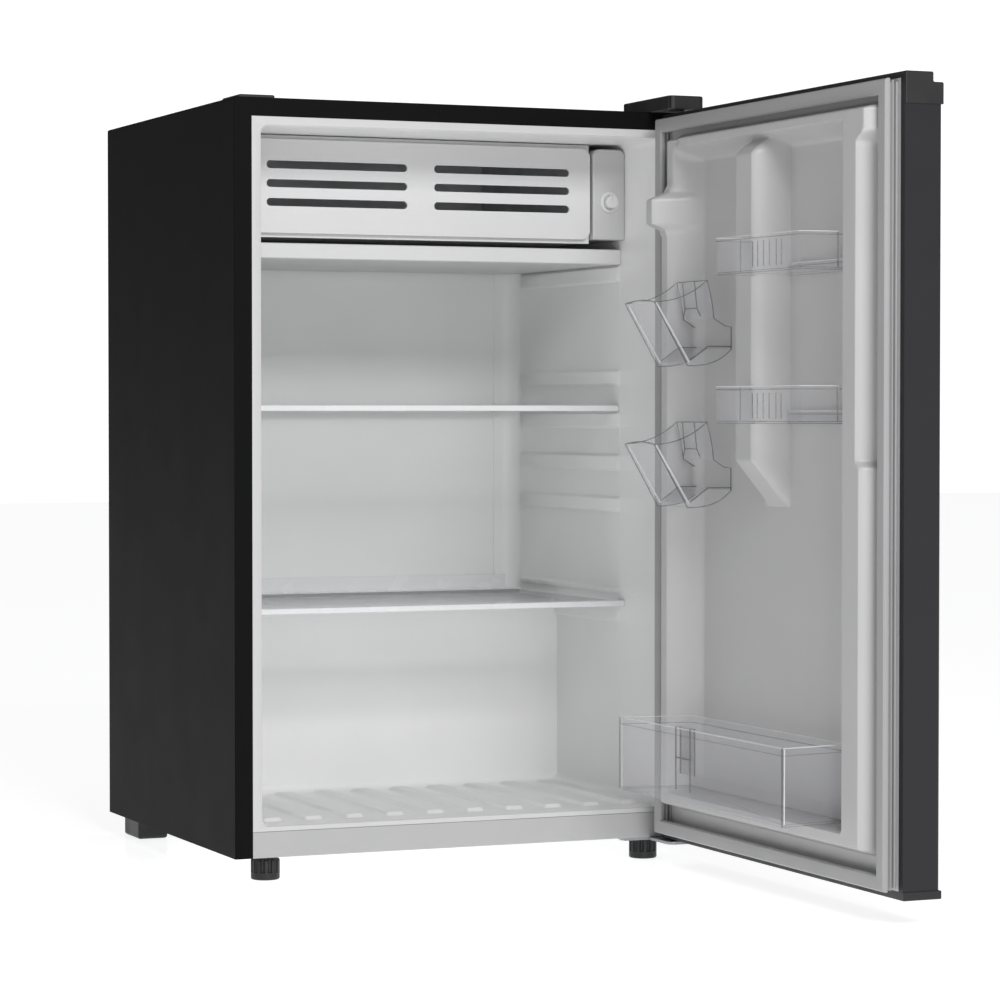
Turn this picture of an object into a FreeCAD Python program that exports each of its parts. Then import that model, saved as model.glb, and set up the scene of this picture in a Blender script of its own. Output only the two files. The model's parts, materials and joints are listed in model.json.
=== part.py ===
import FreeCAD, Part
import math
import os

import Sketcher

# Mini fridge, door standing open at a right angle.
# Cabinet frame: x from the left side, y from the front face to the rear, z from the cabinet's underside.
# Door frame: x from the hinge edge to the latch edge, y from the inner face outwards, z up.

os.makedirs("parts", exist_ok=True)
doc = FreeCAD.newDocument("mini_fridge")
sheet = doc.addObject("Spreadsheet::Sheet", "Sizes")

FAR = 2000.0  # longer than any piece, for cuts that run right out


# ---------------------------------------------------------------- sizes
class Size:
    """A length: its value now, and the sheet expression that keeps it."""

    def __init__(self, value, text):
        self.value = float(value)
        self.text = text

    def __add__(self, other):
        other = as_size(other)
        return Size(self.value + other.value, f"({self.text} + {other.text})")

    def __sub__(self, other):
        other = as_size(other)
        return Size(self.value - other.value, f"({self.text} - {other.text})")

    def __mul__(self, other):
        other = as_size(other)
        return Size(self.value * other.value, f"({self.text} * {other.text})")

    def __truediv__(self, other):
        other = as_size(other)
        return Size(self.value / other.value, f"({self.text} / {other.text})")

    def __radd__(self, other):
        return as_size(other) + self

    def __rsub__(self, other):
        return as_size(other) - self

    def __rmul__(self, other):
        return as_size(other) * self

    def __neg__(self):
        return as_size(0) - self


def as_size(number):
    """A Size from a plain number, or the Size itself."""
    if isinstance(number, Size):
        return number
    return Size(number, f"({number:.6f})")


rows = []


def size(alias, value, note):
    """One row of the sheet: its note, its plain number and its alias."""
    rows.append(alias)
    row = len(rows)
    sheet.set(f"A{row}", note)
    sheet.set(f"B{row}", str(value))
    sheet.setAlias(f"B{row}", alias)
    return Size(value, f"Sizes.{alias}")


# Cabinet
cab_width = size("cab_width", 515, "cabinet, outside width")
cab_depth = size("cab_depth", 450, "cabinet, front face to back panel")
cab_height = size("cab_height", 780, "cabinet, underside to top")
foot_height = size("foot_height", 25, "cabinet's underside above the floor")
shell_wall = size("shell_wall", 1.2, "steel wrap's sheet, bends and paint")
return_strip = size("return_strip", 19, "wrap's fold across the front face")
bend_radius = size("bend_radius", 3, "wrap's outside bend")
side_wall = size("side_wall", 30, "cabinet side to the cavity, liner included")
top_wall = size("top_wall", 28, "cabinet top to the cavity, liner included")
back_wall = size("back_wall", 48, "back panel to the cavity, liner included")
floor_height = size("floor_height", 33, "cabinet's underside to the cavity floor")
liner_wall = size("liner_wall", 1.6, "vacuum-formed liner sheet")
sheet_gap = size("sheet_gap", 0.2, "air between foam and the sheets around it")
cavity_corner = size("cavity_corner", 18, "liner's corner radius at the back")
kick_height = size("kick_height", 27, "white plate under the opening")
panel_sheet = size("panel_sheet", 1, "back panel's sheet")
base_sheet = size("base_sheet", 1.2, "base plate's sheet")

# Compressor bay
bay_depth = size("bay_depth", 142, "compressor bay, front to back")
bay_height = size("bay_height", 213.6, "compressor bay, underside to ceiling")
bay_wall = size("bay_wall", 30, "bay to cavity, sheet and liner included")
tray_sheet = size("tray_sheet", 1.6, "compressor tray's sheet")
tray_rim = size("tray_rim", 14, "compressor tray's folded rear rim")
pump_radius = size("pump_radius", 55, "compressor pot radius")
pump_height = size("pump_height", 128, "compressor pot height")
pump_pitch_x = size("pump_pitch_x", 120, "compressor bolts, side to side")
pump_pitch_y = size("pump_pitch_y", 76, "compressor bolts, front to back")
grommet_height = size("grommet_height", 9, "rubber under the compressor's ears")
grommet_radius = size("grommet_radius", 9, "compressor grommet radius")
bolt_radius = size("bolt_radius", 3, "compressor bolt radius")
pipe_radius = size("pipe_radius", 3.2, "refrigerant pipe radius")
pipe_bend = size("pipe_bend", 14, "refrigerant pipe bend radius")
pan_height = size("pan_height", 22, "evaporating pan's height")
inlet_radius = size("inlet_radius", 9, "cord gland's flange radius")
inlet_bore = size("inlet_bore", 3.6, "cord gland's bore radius")

# Ledges, shelves and tray
ledge_depth = size("ledge_depth", 4, "ledge's reach from the side wall")
ledge_height = size("ledge_height", 19, "ledge's height")
ledge_pitch = size("ledge_pitch", 47, "ledge to ledge")
ledge_first = size("ledge_first", 346, "underside of the lowest of the four ledges")
ledge_front = size("ledge_front", 108, "ledges start behind the front face")
slide_gap = size("slide_gap", 0.6, "shelf or tray to the side wall")
rest_gap = size("rest_gap", 0.3, "shelf or tray above what carries it")
glass_thick = size("glass_thick", 4, "shelf glass")
trim_height = size("trim_height", 6.4, "shelf trim's height")
trim_depth = size("trim_depth", 14, "shelf trim, front to back")
glass_inset = size("glass_inset", 2.4, "shelf glass inside its trims")
upper_shelf_front = size("upper_shelf_front", 110, "upper shelf's front edge")
lower_shelf_front = size("lower_shelf_front", 94, "lower shelf's front edge")
rear_lip = size("rear_lip", 16, "lower shelf's upright lip at the back")
shelf_rear_gap = size("shelf_rear_gap", 4, "shelf to the cavity's back wall")
rib_count = 10
rib_width = size("rib_width", 18, "floor rib's width")
rib_height = size("rib_height", 2.4, "floor rib's height")
rib_front = size("rib_front", 34, "floor ribs start behind the front face")
drip_drop = size("drip_drop", 26.6, "flap's lower edge to the drip tray's underside")
drip_height = size("drip_height", 16.5, "drip tray's height")
drip_front = size("drip_front", 105, "drip tray's front face")
drip_wall = size("drip_wall", 2.2, "drip tray's wall")

# Chiller and thermostat
chill_front = size("chill_front", 98.5, "chiller flap's front face")
flap_thick = size("flap_thick", 3.4, "chiller flap's thickness")
flap_left = size("flap_left", 3.4, "flap to the left cavity wall")
flap_height = size("flap_height", 99, "chiller flap's height")
flap_top_gap = size("flap_top_gap", 5.4, "flap to the cavity ceiling")
flap_corner = size("flap_corner", 10, "flap's rounded free corners")
flap_pin = size("flap_pin", 2, "flap's pivot pin radius")
flap_play = size("flap_play", 0.05, "pivot pin's running clearance")
flap_lean = size("flap_lean", 2.5, "chiller frame behind the flap")
frame_rim = size("frame_rim", 11, "chiller frame's rim")
frame_depth = size("frame_depth", 7, "chiller frame, front to back")
frame_reach = size("frame_reach", 4.4, "chiller frame below the flap")
frame_top_gap = size("frame_top_gap", 1, "chiller frame to the cavity ceiling")
slot_height = size("slot_height", 8.4, "flap's air slots")
slot_pitch = size("slot_pitch", 19.8, "flap's air slots, row to row")
slot_top = size("slot_top", 27, "flap's top edge to the first slot's middle")
slot_hinge_side = size("slot_hinge_side", 36, "slots to the flap's hinged edge")
slot_free_side = size("slot_free_side", 25, "slots to the flap's free edge")
slot_bridge = size("slot_bridge", 31, "solid middle between the two columns of slots")
chill_side_gap = size("chill_side_gap", 4, "chiller box to the cavity's side and to the flap's lower edge")
chill_top_gap = size("chill_top_gap", 5, "chiller box to the cavity ceiling")
spacer_radius = size("spacer_radius", 6, "spacers that hang the chiller box")
spacer_inset = size("spacer_inset", 35, "spacers in from the chiller box's corners")
chill_sheet = size("chill_sheet", 1.4, "chiller box's aluminium sheet")
chill_rear_gap = size("chill_rear_gap", 8, "chiller box to the back wall")
stat_width = size("stat_width", 38.4, "thermostat housing's width")
stat_gap = size("stat_gap", 2.4, "thermostat housing to the flap")
stat_front = size("stat_front", 95, "thermostat housing's front face")
stat_depth = size("stat_depth", 110, "thermostat housing, front to back")
stat_wall = size("stat_wall", 2.2, "thermostat housing's wall")
knob_radius = size("knob_radius", 7.2, "thermostat knob's radius")
knob_reach = size("knob_reach", 9, "thermostat knob's height")
bezel_radius = size("bezel_radius", 11.5, "ring around the thermostat knob")
bezel_reach = size("bezel_reach", 2.4, "ring's height")
knob_drop = size("knob_drop", 58, "housing's top to the knob")
shaft_radius = size("shaft_radius", 3, "thermostat shaft")
shaft_play = size("shaft_play", 0.05, "shaft's running clearance")

# Door
door_top_gap = size("door_top_gap", 4, "door's top below the cabinet's top")
door_lift = size("door_lift", 1, "door's underside above the cabinet's underside")
door_thick = size("door_thick", 40, "door, inner face to outer face")
gasket_gap = size("gasket_gap", 16, "shut door to the cabinet's front face")
pivot_in = size("pivot_in", 18.75, "hinge axis from the door's edge and inner face")
skin_wall = size("skin_wall", 0.8, "door skin's sheet")
skin_return = size("skin_return", 8, "door skin's fold on the inner face")
skin_corner = size("skin_corner", 4, "door skin's outside bend")
flange_wall = size("flange_wall", 1.2, "door liner's flange")
cap_over = size("cap_over", 1, "caps stand proud of the skin")
cap_height = size("cap_height", 30, "top cap's height")
cap_step = size("cap_step", 9.5, "top cap's front step, down")
cap_step_depth = size("cap_step_depth", 11, "top cap's front step, back")
cap_wall = size("cap_wall", 2.6, "caps' wall")
cap_lip = size("cap_lip", 6, "top cap's edge above the liner's flange")
foot_cap = size("foot_cap", 8, "bottom cap's height")
boss_radius = size("boss_radius", 10, "hinge boss radius in the caps")
bush_radius = size("bush_radius", 6, "hinge bush radius")
bush_length = size("bush_length", 18, "hinge bush length")
hinge_pin = size("hinge_pin", 4, "hinge pin radius")
hinge_play = size("hinge_play", 0.05, "hinge pin's running clearance")
gasket_width = size("gasket_width", 15, "gasket across")
gasket_centre = size("gasket_centre", 18, "gasket's middle from the door's edge")
gasket_top = size("gasket_top", 14, "gasket's middle from the door's top")
gasket_foot = size("gasket_foot", 15, "gasket's middle from the door's underside")
gasket_air = size("gasket_air", 0.5, "gasket to the cabinet with the door shut")

# Door liner
dam_hinge_out = size("dam_hinge_out", 37, "hinge-side dam's outer foot from the door's edge")
dam_hinge_in = size("dam_hinge_in", 66, "hinge-side dam's inner foot from the door's edge")
dam_latch_out = size("dam_latch_out", 53, "latch-side dam's outer foot from the door's edge")
dam_latch_in = size("dam_latch_in", 76, "latch-side dam's inner foot from the door's edge")
dam_rise = size("dam_rise", 24, "dam's crest over the door's inner face")
dam_foot = size("dam_foot", 38, "dam's lower end over the door's underside")
dam_head = size("dam_head", 33, "dam's upper end under the door's top")
dam_band = size("dam_band", 20, "dam's thickness at its two ends")
pocket_sink = size("pocket_sink", 9.5, "pocket floor below the door's inner face")
ridge_left = size("ridge_left", 218, "middle ridge's first side from the door's edge")
ridge_width = size("ridge_width", 37, "middle ridge's width")
ridge_rise = size("ridge_rise", 30.5, "middle ridge's crest over the inner face")
ridge_foot = size("ridge_foot", 362, "middle ridge's lower end")
ridge_slant = size("ridge_slant", 46, "middle ridge's slanted lower stretch")
hook_low = size("hook_low", 646, "hinge-side hook's lower end")
hook_rise = size("hook_rise", 42, "hinge-side hook over the inner face")
hook_length = size("hook_length", 50, "hinge-side hook's length, slopes included")
upper_dam_rise = size("upper_dam_rise", 17.5, "hinge-side dam's crest above the hook")

# Door bins
bin_wall = size("bin_wall", 2.2, "bins' clear plastic wall")
bin_air = size("bin_air", 0.5, "bins to the door liner")
bin_height = size("bin_height", 37, "small bins' height")
bin_reach = size("bin_reach", 70.5, "small bins' front over the inner face")
bin_end = size("bin_end", 7, "bins to the latch-side dam")
bin_upper = size("bin_upper", 593, "upper small bin's underside")
bin_drop = size("bin_drop", 147, "upper bin to lower bin")
holder_width = size("holder_width", 72, "can holders' width")
holder_edge = size("holder_edge", 6, "can holders to the hinge-side dam")
holder_upper = size("holder_upper", 504, "upper can holder's underside at the front")
holder_drop = size("holder_drop", 146, "upper holder to lower holder")
holder_reach = size("holder_reach", 79, "can holders' lip over the inner face")
holder_front = size("holder_front", 65, "can holders' front wall height")
holder_back = size("holder_back", 89, "can holders' back wall height")
holder_step = size("holder_step", 14, "can holders' floor rises this much to the back")
large_reach = size("large_reach", 84, "bottom bin's front over the inner face")
large_height = size("large_height", 76, "bottom bin's height")
large_base = size("large_base", 63, "bottom bin's underside")
lug_size = size("lug_size", 5, "lugs that carry the bins")

# Hinges and feet
hinge_plate = size("hinge_plate", 3, "hinge plates' thickness")
hinge_width = size("hinge_width", 38, "hinge plates' width")
hinge_inset = size("hinge_inset", 7, "hinge plates in from the cabinet's side")
hinge_back = size("hinge_back", 58, "top hinge plate's reach behind the front face")
hinge_nose = size("hinge_nose", 14, "hinge plates beyond the hinge axis")
cover_height = size("cover_height", 14, "hinge cover above the cabinet's top")
cover_wall = size("cover_wall", 1.8, "hinge cover's wall")
cover_back = size("cover_back", 68, "hinge cover's reach behind the front face")
cap_rise = size("cap_rise", 3, "left corner cap above the cabinet's top")
screw_radius = size("screw_radius", 2.4, "hinge screws")
head_radius = size("head_radius", 4.6, "hinge screw heads")
head_height = size("head_height", 2.4, "hinge screw heads' height")
screw_length = size("screw_length", 16, "hinge screws under the head")
screw_play = size("screw_play", 0.2, "screw holes over the screws")
foot_inset = size("foot_inset", 41, "front feet in from the sides")
foot_back = size("foot_back", 25, "front feet behind the front face")
foot_radius = size("foot_radius", 15, "front feet's radius")
foot_gap = size("foot_gap", 3.4, "front feet below the cabinet's underside")
stud_radius = size("stud_radius", 4, "levelling stud")
stud_play = size("stud_play", 0.05, "levelling stud's thread clearance")
stud_height = size("stud_height", 20, "levelling stud above the cabinet's underside")
nut_width = size("nut_width", 7.5, "weld nut's corner radius")
nut_height = size("nut_height", 6.5, "weld nut's height")
flute_count = 12
flute_radius = size("flute_radius", 2.2, "grooves around the front feet")
rear_foot_width = size("rear_foot_width", 34, "rear feet's width")
rear_foot_depth = size("rear_foot_depth", 52, "rear feet, front to back")
rear_foot_inset = size("rear_foot_inset", 14, "rear feet in from the sides")


# ---------------------------------------------------------------- frames
class Frame:
    """A local frame: its origin in the model, and its turn about z."""

    def __init__(self, origin, turn):
        self.origin = origin
        self.turn = turn

    def put(self, thing, x=0, y=0, z=0):
        """Place a thing with its own origin at (x, y, z) in this frame."""
        if self.turn:
            shift = (as_size(y), -as_size(x), as_size(z))
        else:
            shift = (as_size(x), as_size(y), as_size(z))
        spot = [start + step for start, step in zip(self.origin, shift)]
        turn = FreeCAD.Rotation(FreeCAD.Vector(0, 0, 1), self.turn)
        thing.Placement = FreeCAD.Placement(FreeCAD.Vector(*[s.value for s in spot]), turn)
        for axis, place in zip("xyz", spot):
            thing.setExpression(f"Placement.Base.{axis}", place.text)
        return thing


door_height = cab_height - door_lift - door_top_gap

# The door's swing fills the space before the cabinet, so y runs from the middle of both.
front_y = (gasket_gap + cab_width - cab_depth) / 2
pivot_x = cab_width - pivot_in
pivot_y = -(gasket_gap + pivot_in)
cabinet = Frame((-cab_width / 2, front_y, foot_height), 0)
door = Frame(
    (
        cabinet.origin[0] + pivot_x - pivot_in,
        cabinet.origin[1] - gasket_gap,
        cabinet.origin[2] + door_lift,
    ),
    -90,
)

# Lines that several pieces share
left = side_wall
right = cab_width - side_wall
floor = floor_height
ceiling = cab_height - top_wall
back = cab_depth - back_wall
bay_front = cab_depth - bay_depth
hump_front = bay_front - bay_wall
hump_top = bay_height + bay_wall
door_width = cab_width
dam_far_out = door_width - dam_latch_out
dam_far_in = door_width - dam_latch_in
dam_top = door_height - dam_head
ridge_right = ridge_left + ridge_width
flap_bottom = ceiling - flap_top_gap - flap_height
drip_base = flap_bottom - drip_drop
pump_x = cab_width * 0.62
pump_y = bay_front + bay_depth / 2


# ---------------------------------------------------------------- building helpers
PLANES = {"XY": "XY_Plane", "XZ": "XZ_Plane", "YZ": "YZ_Plane"}


def make_body(label, frame):
    """An empty body in its frame."""
    body = doc.addObject("PartDesign::Body", label)
    body.Label = label
    return frame.put(body)


def make_sketch(body, plane, height):
    """A sketch on one of the body's own origin planes, raised along its normal."""
    sketch = body.newObject("Sketcher::SketchObject", f"{body.Label}_sketch")
    role = PLANES[plane]
    base = [f for f in body.Origin.OriginFeatures if f.Role == role][0]
    sketch.AttachmentSupport = [(base, "")]
    sketch.MapMode = "FlatFace"
    sketch.setExpression("AttachmentOffset.Base.z", as_size(height).text)
    return sketch


def pin_point(sketch, item, point, x, y):
    """Tie one point of the sketch to its two sizes."""
    for kind, length in (("DistanceX", as_size(x)), ("DistanceY", as_size(y))):
        number = sketch.addConstraint(Sketcher.Constraint(kind, -1, 1, item, point, length.value))
        sketch.setExpression(f"Constraints[{number}]", length.text)


def polygon(sketch, corners):
    """A closed outline of straight edges."""
    spots = [FreeCAD.Vector(as_size(x).value, as_size(y).value, 0) for x, y in corners]
    lines = []
    for here, there in zip(spots, spots[1:] + spots[:1]):
        lines.append(sketch.addGeometry(Part.LineSegment(here, there), False))
    for line, following in zip(lines, lines[1:] + lines[:1]):
        sketch.addConstraint(Sketcher.Constraint("Coincident", line, 2, following, 1))
    for line, (x, y) in zip(lines, corners):
        pin_point(sketch, line, 1, x, y)


def rectangle(x0, x1, y0, y1):
    """A drawing of one rectangle."""
    return lambda sketch: polygon(sketch, [(x0, y0), (x1, y0), (x1, y1), (x0, y1)])


def outline(corners):
    """A drawing of one closed outline."""
    return lambda sketch: polygon(sketch, corners)


def circles(spots, radius):
    """A drawing of equal circles."""

    def draw(sketch):
        for x, y in spots:
            middle = FreeCAD.Vector(as_size(x).value, as_size(y).value, 0)
            round_line = Part.Circle(middle, FreeCAD.Vector(0, 0, 1), radius.value)
            item = sketch.addGeometry(round_line, False)
            pin_point(sketch, item, 3, x, y)
            number = sketch.addConstraint(Sketcher.Constraint("Radius", item, radius.value))
            sketch.setExpression(f"Constraints[{number}]", radius.text)

    return draw


def extrude(body, plane, low, high, draw, cut=False):
    """Pad or pocket a drawing between two heights along the plane's own axis."""
    low = as_size(low)
    high = as_size(high)
    along = plane != "XZ"
    start = high if along == cut else low
    sketch = make_sketch(body, plane, start if along else -start)
    draw(sketch)
    kind = "Pocket" if cut else "Pad"
    feature = body.newObject(f"PartDesign::{kind}", f"{body.Label}_{kind.lower()}")
    feature.Profile = sketch
    feature.setExpression("Length", (high - low).text)
    body.Tip = feature
    return feature


def pad(body, plane, low, high, draw):
    """Add a drawing's prism to the body."""
    return extrude(body, plane, low, high, draw)


def pocket(body, plane, low, high, draw):
    """Cut a drawing's prism out of the body, and make sure that it cuts."""
    doc.recompute()
    before = body.Shape.Volume
    feature = extrude(body, plane, low, high, draw, cut=True)
    doc.recompute()
    if body.Shape.Volume > before - 0.01:
        raise ValueError(f"{body.Label}: a pocket cuts nothing")
    return feature


def near(value, *sizes):
    """Whether a coordinate lies at one of the sizes."""
    return any(abs(value - as_size(s).value) < 0.02 for s in sizes)


def local_edges(body, wanted):
    """The names of the edges whose middle and direction are wanted, in the body's frame."""
    shape = body.Tip.Shape
    names = []
    for number, edge in enumerate(shape.Edges, 1):
        box = edge.BoundBox
        middle = box.Center
        spans = (box.XLength, box.YLength, box.ZLength)
        if wanted(middle, spans):
            names.append(f"Edge{number}")
    return names


def round_edges(body, radius, wanted):
    """Fillet the wanted edges."""
    doc.recompute()
    names = local_edges(body, wanted)
    if not names:
        raise ValueError(f"{body.Label}: no edge to round")
    base = body.Tip
    feature = body.newObject("PartDesign::Fillet", f"{body.Label}_fillet")
    feature.Base = (base, names)
    feature.setExpression("Radius", as_size(radius).text)
    body.Tip = feature
    doc.recompute()
    if "Invalid" in feature.State:
        raise ValueError(f"{body.Label}: its edges can't be rounded by {radius}")
    return feature


def upright(spans):
    """Whether an edge runs straight up."""
    return spans[0] < 0.01 and spans[1] < 0.01 and spans[2] > 0.01


def deep(spans):
    """Whether an edge runs straight front to back."""
    return spans[0] < 0.01 and spans[2] < 0.01 and spans[1] > 0.01


def level(spans):
    """Whether an edge runs straight side to side."""
    return spans[1] < 0.01 and spans[2] < 0.01 and spans[0] > 0.01


def cylinder(name, frame, x, y, z, radius, height):
    """An upright round bar."""
    bar = doc.addObject("Part::Cylinder", name)
    bar.setExpression("Radius", as_size(radius).text)
    bar.setExpression("Height", as_size(height).text)
    return frame.put(bar, x, y, z)


def ring(name, frame, x, y, z, radius, bore, height):
    """An upright tube."""
    cut = doc.addObject("Part::Cut", name)
    cut.Base = cylinder(f"{name}_outside", frame, x, y, z, radius, height)
    cut.Tool = cylinder(f"{name}_bore", frame, x, y, z, bore, height)
    return cut


def fuse(name, pieces):
    """Several shapes joined into one solid."""
    joined = doc.addObject("Part::MultiFuse", name)
    joined.Shapes = pieces
    return joined


def group(name, pieces):
    """Equal pieces kept as separate solids in one node."""
    together = doc.addObject("Part::Compound", name)
    together.Links = pieces
    return together


def screw(name, frame, x, y, z):
    """A pan-head screw, z at the underside of its head."""
    head = cylinder(f"{name}_head", frame, x, y, z, head_radius, head_height)
    shank = cylinder(f"{name}_shank", frame, x, y, z - screw_length, screw_radius, screw_length)
    return fuse(name, [head, shank])


# ---------------------------------------------------------------- cabinet
def make_outer_shell():
    """Painted steel wrap: two sides and the top, folded across the front."""
    body = make_body("outer_shell", cabinet)
    inside = rectangle(shell_wall, cab_width - shell_wall, -FAR, cab_height - shell_wall)
    pad(body, "XZ", 0, cab_depth, rectangle(0, cab_width, 0, cab_height))
    wide = lambda at, spans: deep(spans) and near(at.z, cab_height)
    round_edges(body, bend_radius, wide)
    pocket(body, "XZ", shell_wall, FAR, inside)
    face = rectangle(return_strip, cab_width - return_strip, -FAR, cab_height - return_strip)
    pocket(body, "XZ", -1, shell_wall, face)
    for x, y in hinge_screw_spots() + corner_cap_spots():
        hole = circles([(x, y)], screw_radius + screw_play)
        pocket(body, "XY", cab_height - shell_wall - 1, cab_height + 1, hole)
    front = lambda at, spans: (upright(spans) or level(spans)) and near(at.y, 0) and (
        near(at.x, 0, cab_width) or near(at.z, cab_height)
    )
    round_edges(body, shell_wall * 0.8, front)
    return body


def cavity_outline(grow):
    """The cavity's side view, stepped over the compressor bay, grown by a wall."""
    return [
        (-FAR, floor - grow),
        (hump_front + grow, floor - grow),
        (hump_front + grow, hump_top - grow),
        (back + grow, hump_top - grow),
        (back + grow, ceiling + grow),
        (-FAR, ceiling + grow),
    ]


def ledge_bases():
    """Undersides of the four ledges that guide the upper shelf."""
    return [ledge_first + ledge_pitch * number for number in range(4)]


def make_inner_liner():
    """White liner: cavity with its step, front flange, ledges and floor ribs."""
    body = make_body("inner_liner", cabinet)
    outside = [(y if number not in (0, 5) else as_size(0), z) for number, (y, z) in
               enumerate(cavity_outline(liner_wall))]
    pad(body, "YZ", left - liner_wall, right + liner_wall, outline(outside))
    flange = rectangle(
        return_strip + sheet_gap,
        cab_width - return_strip - sheet_gap,
        kick_height + sheet_gap,
        cab_height - return_strip - sheet_gap,
    )
    pad(body, "XZ", 0, liner_wall, flange)
    pocket(body, "YZ", left, right, outline(cavity_outline(as_size(0))))
    corner = lambda at, spans: upright(spans) and near(at.x, left, right) and near(at.y, back)
    round_edges(body, cavity_corner, corner)
    mouth = lambda at, spans: near(at.y, 0) and (
        (upright(spans) and near(at.x, left, right)) or (level(spans) and near(at.z, floor, ceiling))
    )
    round_edges(body, liner_wall * 0.9, mouth)
    add_ledges(body)
    add_floor_ribs(body)
    return body


def add_ledges(body):
    """Pairs of ledges along the two side walls."""
    rear = back - cavity_corner / 2
    bands = [(base, ledge_height, rear) for base in ledge_bases()]
    bands.append((hump_top - ledge_height, ledge_height, hump_front + liner_wall / 2))
    bands.append((hump_top + glass_thick + 2 * trim_height, ledge_height / 2, rear))
    bands.append((drip_base - rest_gap - ledge_height, ledge_height, rear))
    overlap = liner_wall / 2
    for base, height, end in bands:
        for near_side, far_side in (
            (left - overlap, left + ledge_depth),
            (right - ledge_depth, right + overlap),
        ):
            band = rectangle(near_side, far_side, base, base + height)
            pad(body, "XZ", ledge_front, end, band)


def add_floor_ribs(body):
    """Low ribs that run from the front to the step."""
    pitch = (right - left) / rib_count
    for number in range(rib_count):
        middle = left + pitch * (number + 0.5)
        band = rectangle(
            middle - rib_width / 2,
            middle + rib_width / 2,
            floor - liner_wall / 2,
            floor + rib_height,
        )
        pad(body, "XZ", rib_front, hump_front - rib_width, band)


def make_foam():
    """Foam between the wrap, the back panel and the liner."""
    body = make_body("insulation_foam", cabinet)
    skin = shell_wall + sheet_gap
    low = base_sheet + sheet_gap
    front = liner_wall + sheet_gap
    bay_face = bay_front - panel_sheet - sheet_gap
    bay_roof = bay_height + panel_sheet + sheet_gap
    rear = cab_depth - panel_sheet - sheet_gap
    side_view = [
        (front, low),
        (bay_face, low),
        (bay_face, bay_roof),
        (rear, bay_roof),
        (rear, cab_height - skin),
        (front, cab_height - skin),
    ]
    pad(body, "YZ", skin, cab_width - skin, outline(side_view))
    grow = liner_wall + sheet_gap
    pocket(body, "YZ", left - grow, right + grow, outline(cavity_outline(grow)))
    wells = circles([(x, foot_back) for x in foot_middles()], nut_width + 1)
    pocket(body, "XY", low - 1, stud_height + 3, wells)
    for spots in (hinge_screw_spots(), corner_cap_spots()):
        holes = circles(spots, screw_radius + screw_play)
        pocket(body, "XY", cab_height - screw_length - 1, cab_height + 1, holes)
    return body


def make_back_panel():
    """Back sheet, bent forward over the compressor bay and down to the base."""
    body = make_body("back_panel", cabinet)
    skin = shell_wall + sheet_gap / 2
    low = base_sheet + sheet_gap / 2
    top = cab_height - skin
    side_view = [
        (bay_front - panel_sheet, low),
        (bay_front, low),
        (bay_front, bay_height),
        (cab_depth, bay_height),
        (cab_depth, top),
        (cab_depth - panel_sheet, top),
        (cab_depth - panel_sheet, bay_height + panel_sheet),
        (bay_front - panel_sheet, bay_height + panel_sheet),
    ]
    pad(body, "YZ", skin, cab_width - skin, outline(side_view))
    return body


def foot_middles():
    """The x of the two front feet."""
    return [foot_inset, cab_width - foot_inset]


def make_base_plate():
    """Steel plate under the foam, with the holes for the levelling studs."""
    body = make_body("base_plate", cabinet)
    skin = shell_wall + sheet_gap / 2
    plan = rectangle(skin, cab_width - skin, liner_wall + sheet_gap, bay_front)
    pad(body, "XY", 0, base_sheet, plan)
    holes = circles([(x, foot_back) for x in foot_middles()], stud_radius + screw_play * 2)
    pocket(body, "XY", -1, base_sheet + 1, holes)
    return body


def make_kick_plate():
    """White plate across the front under the opening."""
    body = make_body("kick_plate", cabinet)
    face = rectangle(return_strip + sheet_gap, cab_width - return_strip - sheet_gap, 0, kick_height)
    pad(body, "XZ", 0, liner_wall, face)
    front = lambda at, spans: level(spans) and near(at.y, 0)
    round_edges(body, liner_wall / 2, front)
    return body


def make_corner_cap():
    """Plug over the spare hinge holes at the top left."""
    body = make_body("corner_cap", cabinet)
    plan = rectangle(hinge_inset, hinge_inset + hinge_width, shell_wall + 2, hinge_back)
    pad(body, "XY", cab_height, cab_height + cap_rise, plan)
    round_edges(body, cap_rise * 0.6, lambda at, spans: near(at.z, cab_height + cap_rise))
    for spot in corner_cap_spots():
        stem = circles([spot], screw_radius)
        pad(body, "XY", cab_height - screw_length / 2, cab_height + cap_rise / 2, stem)
    return body


# ---------------------------------------------------------------- hinges
def hinge_screw_spots():
    """Where the top hinge's screws go through the cabinet's top."""
    middle = cab_width - hinge_inset - hinge_width / 2
    quarter = hinge_width / 4
    return [
        (middle - quarter, hinge_back * 0.3),
        (middle + quarter, hinge_back * 0.3),
        (middle, hinge_back * 0.75),
    ]


def corner_cap_spots():
    """The matching spare holes on the left."""
    return [(cab_width - x, y) for x, y in hinge_screw_spots()]


def make_top_hinge():
    """Top hinge: its plate, its pin and its screws."""
    plate = make_body("top_hinge_plate", cabinet)
    near_side = cab_width - hinge_inset - hinge_width
    plan = rectangle(near_side, near_side + hinge_width, pivot_y - hinge_nose, hinge_back)
    pad(plate, "XY", cab_height, cab_height + hinge_plate, plan)
    corner = lambda at, spans: upright(spans) and near(at.y, pivot_y - hinge_nose)
    round_edges(plate, hinge_nose * 0.6, corner)
    pocket(plate, "XY", cab_height - 1, cab_height + hinge_plate + 1, circles(
        [(pivot_x, pivot_y)], hinge_pin))
    pocket(plate, "XY", cab_height - 1, cab_height + hinge_plate + 1, circles(
        hinge_screw_spots(), screw_radius + screw_play))
    top = cab_height + hinge_plate
    low = door_lift + door_height - bush_length + 2
    cylinder("top_hinge_pin", cabinet, pivot_x, pivot_y, low, hinge_pin, top - low)
    screws = []
    for number, (x, y) in enumerate(hinge_screw_spots(), 1):
        screws.append(screw(f"top_screw_{number}", cabinet, x, y, top))
    group("top_hinge_screws", screws)


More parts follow.
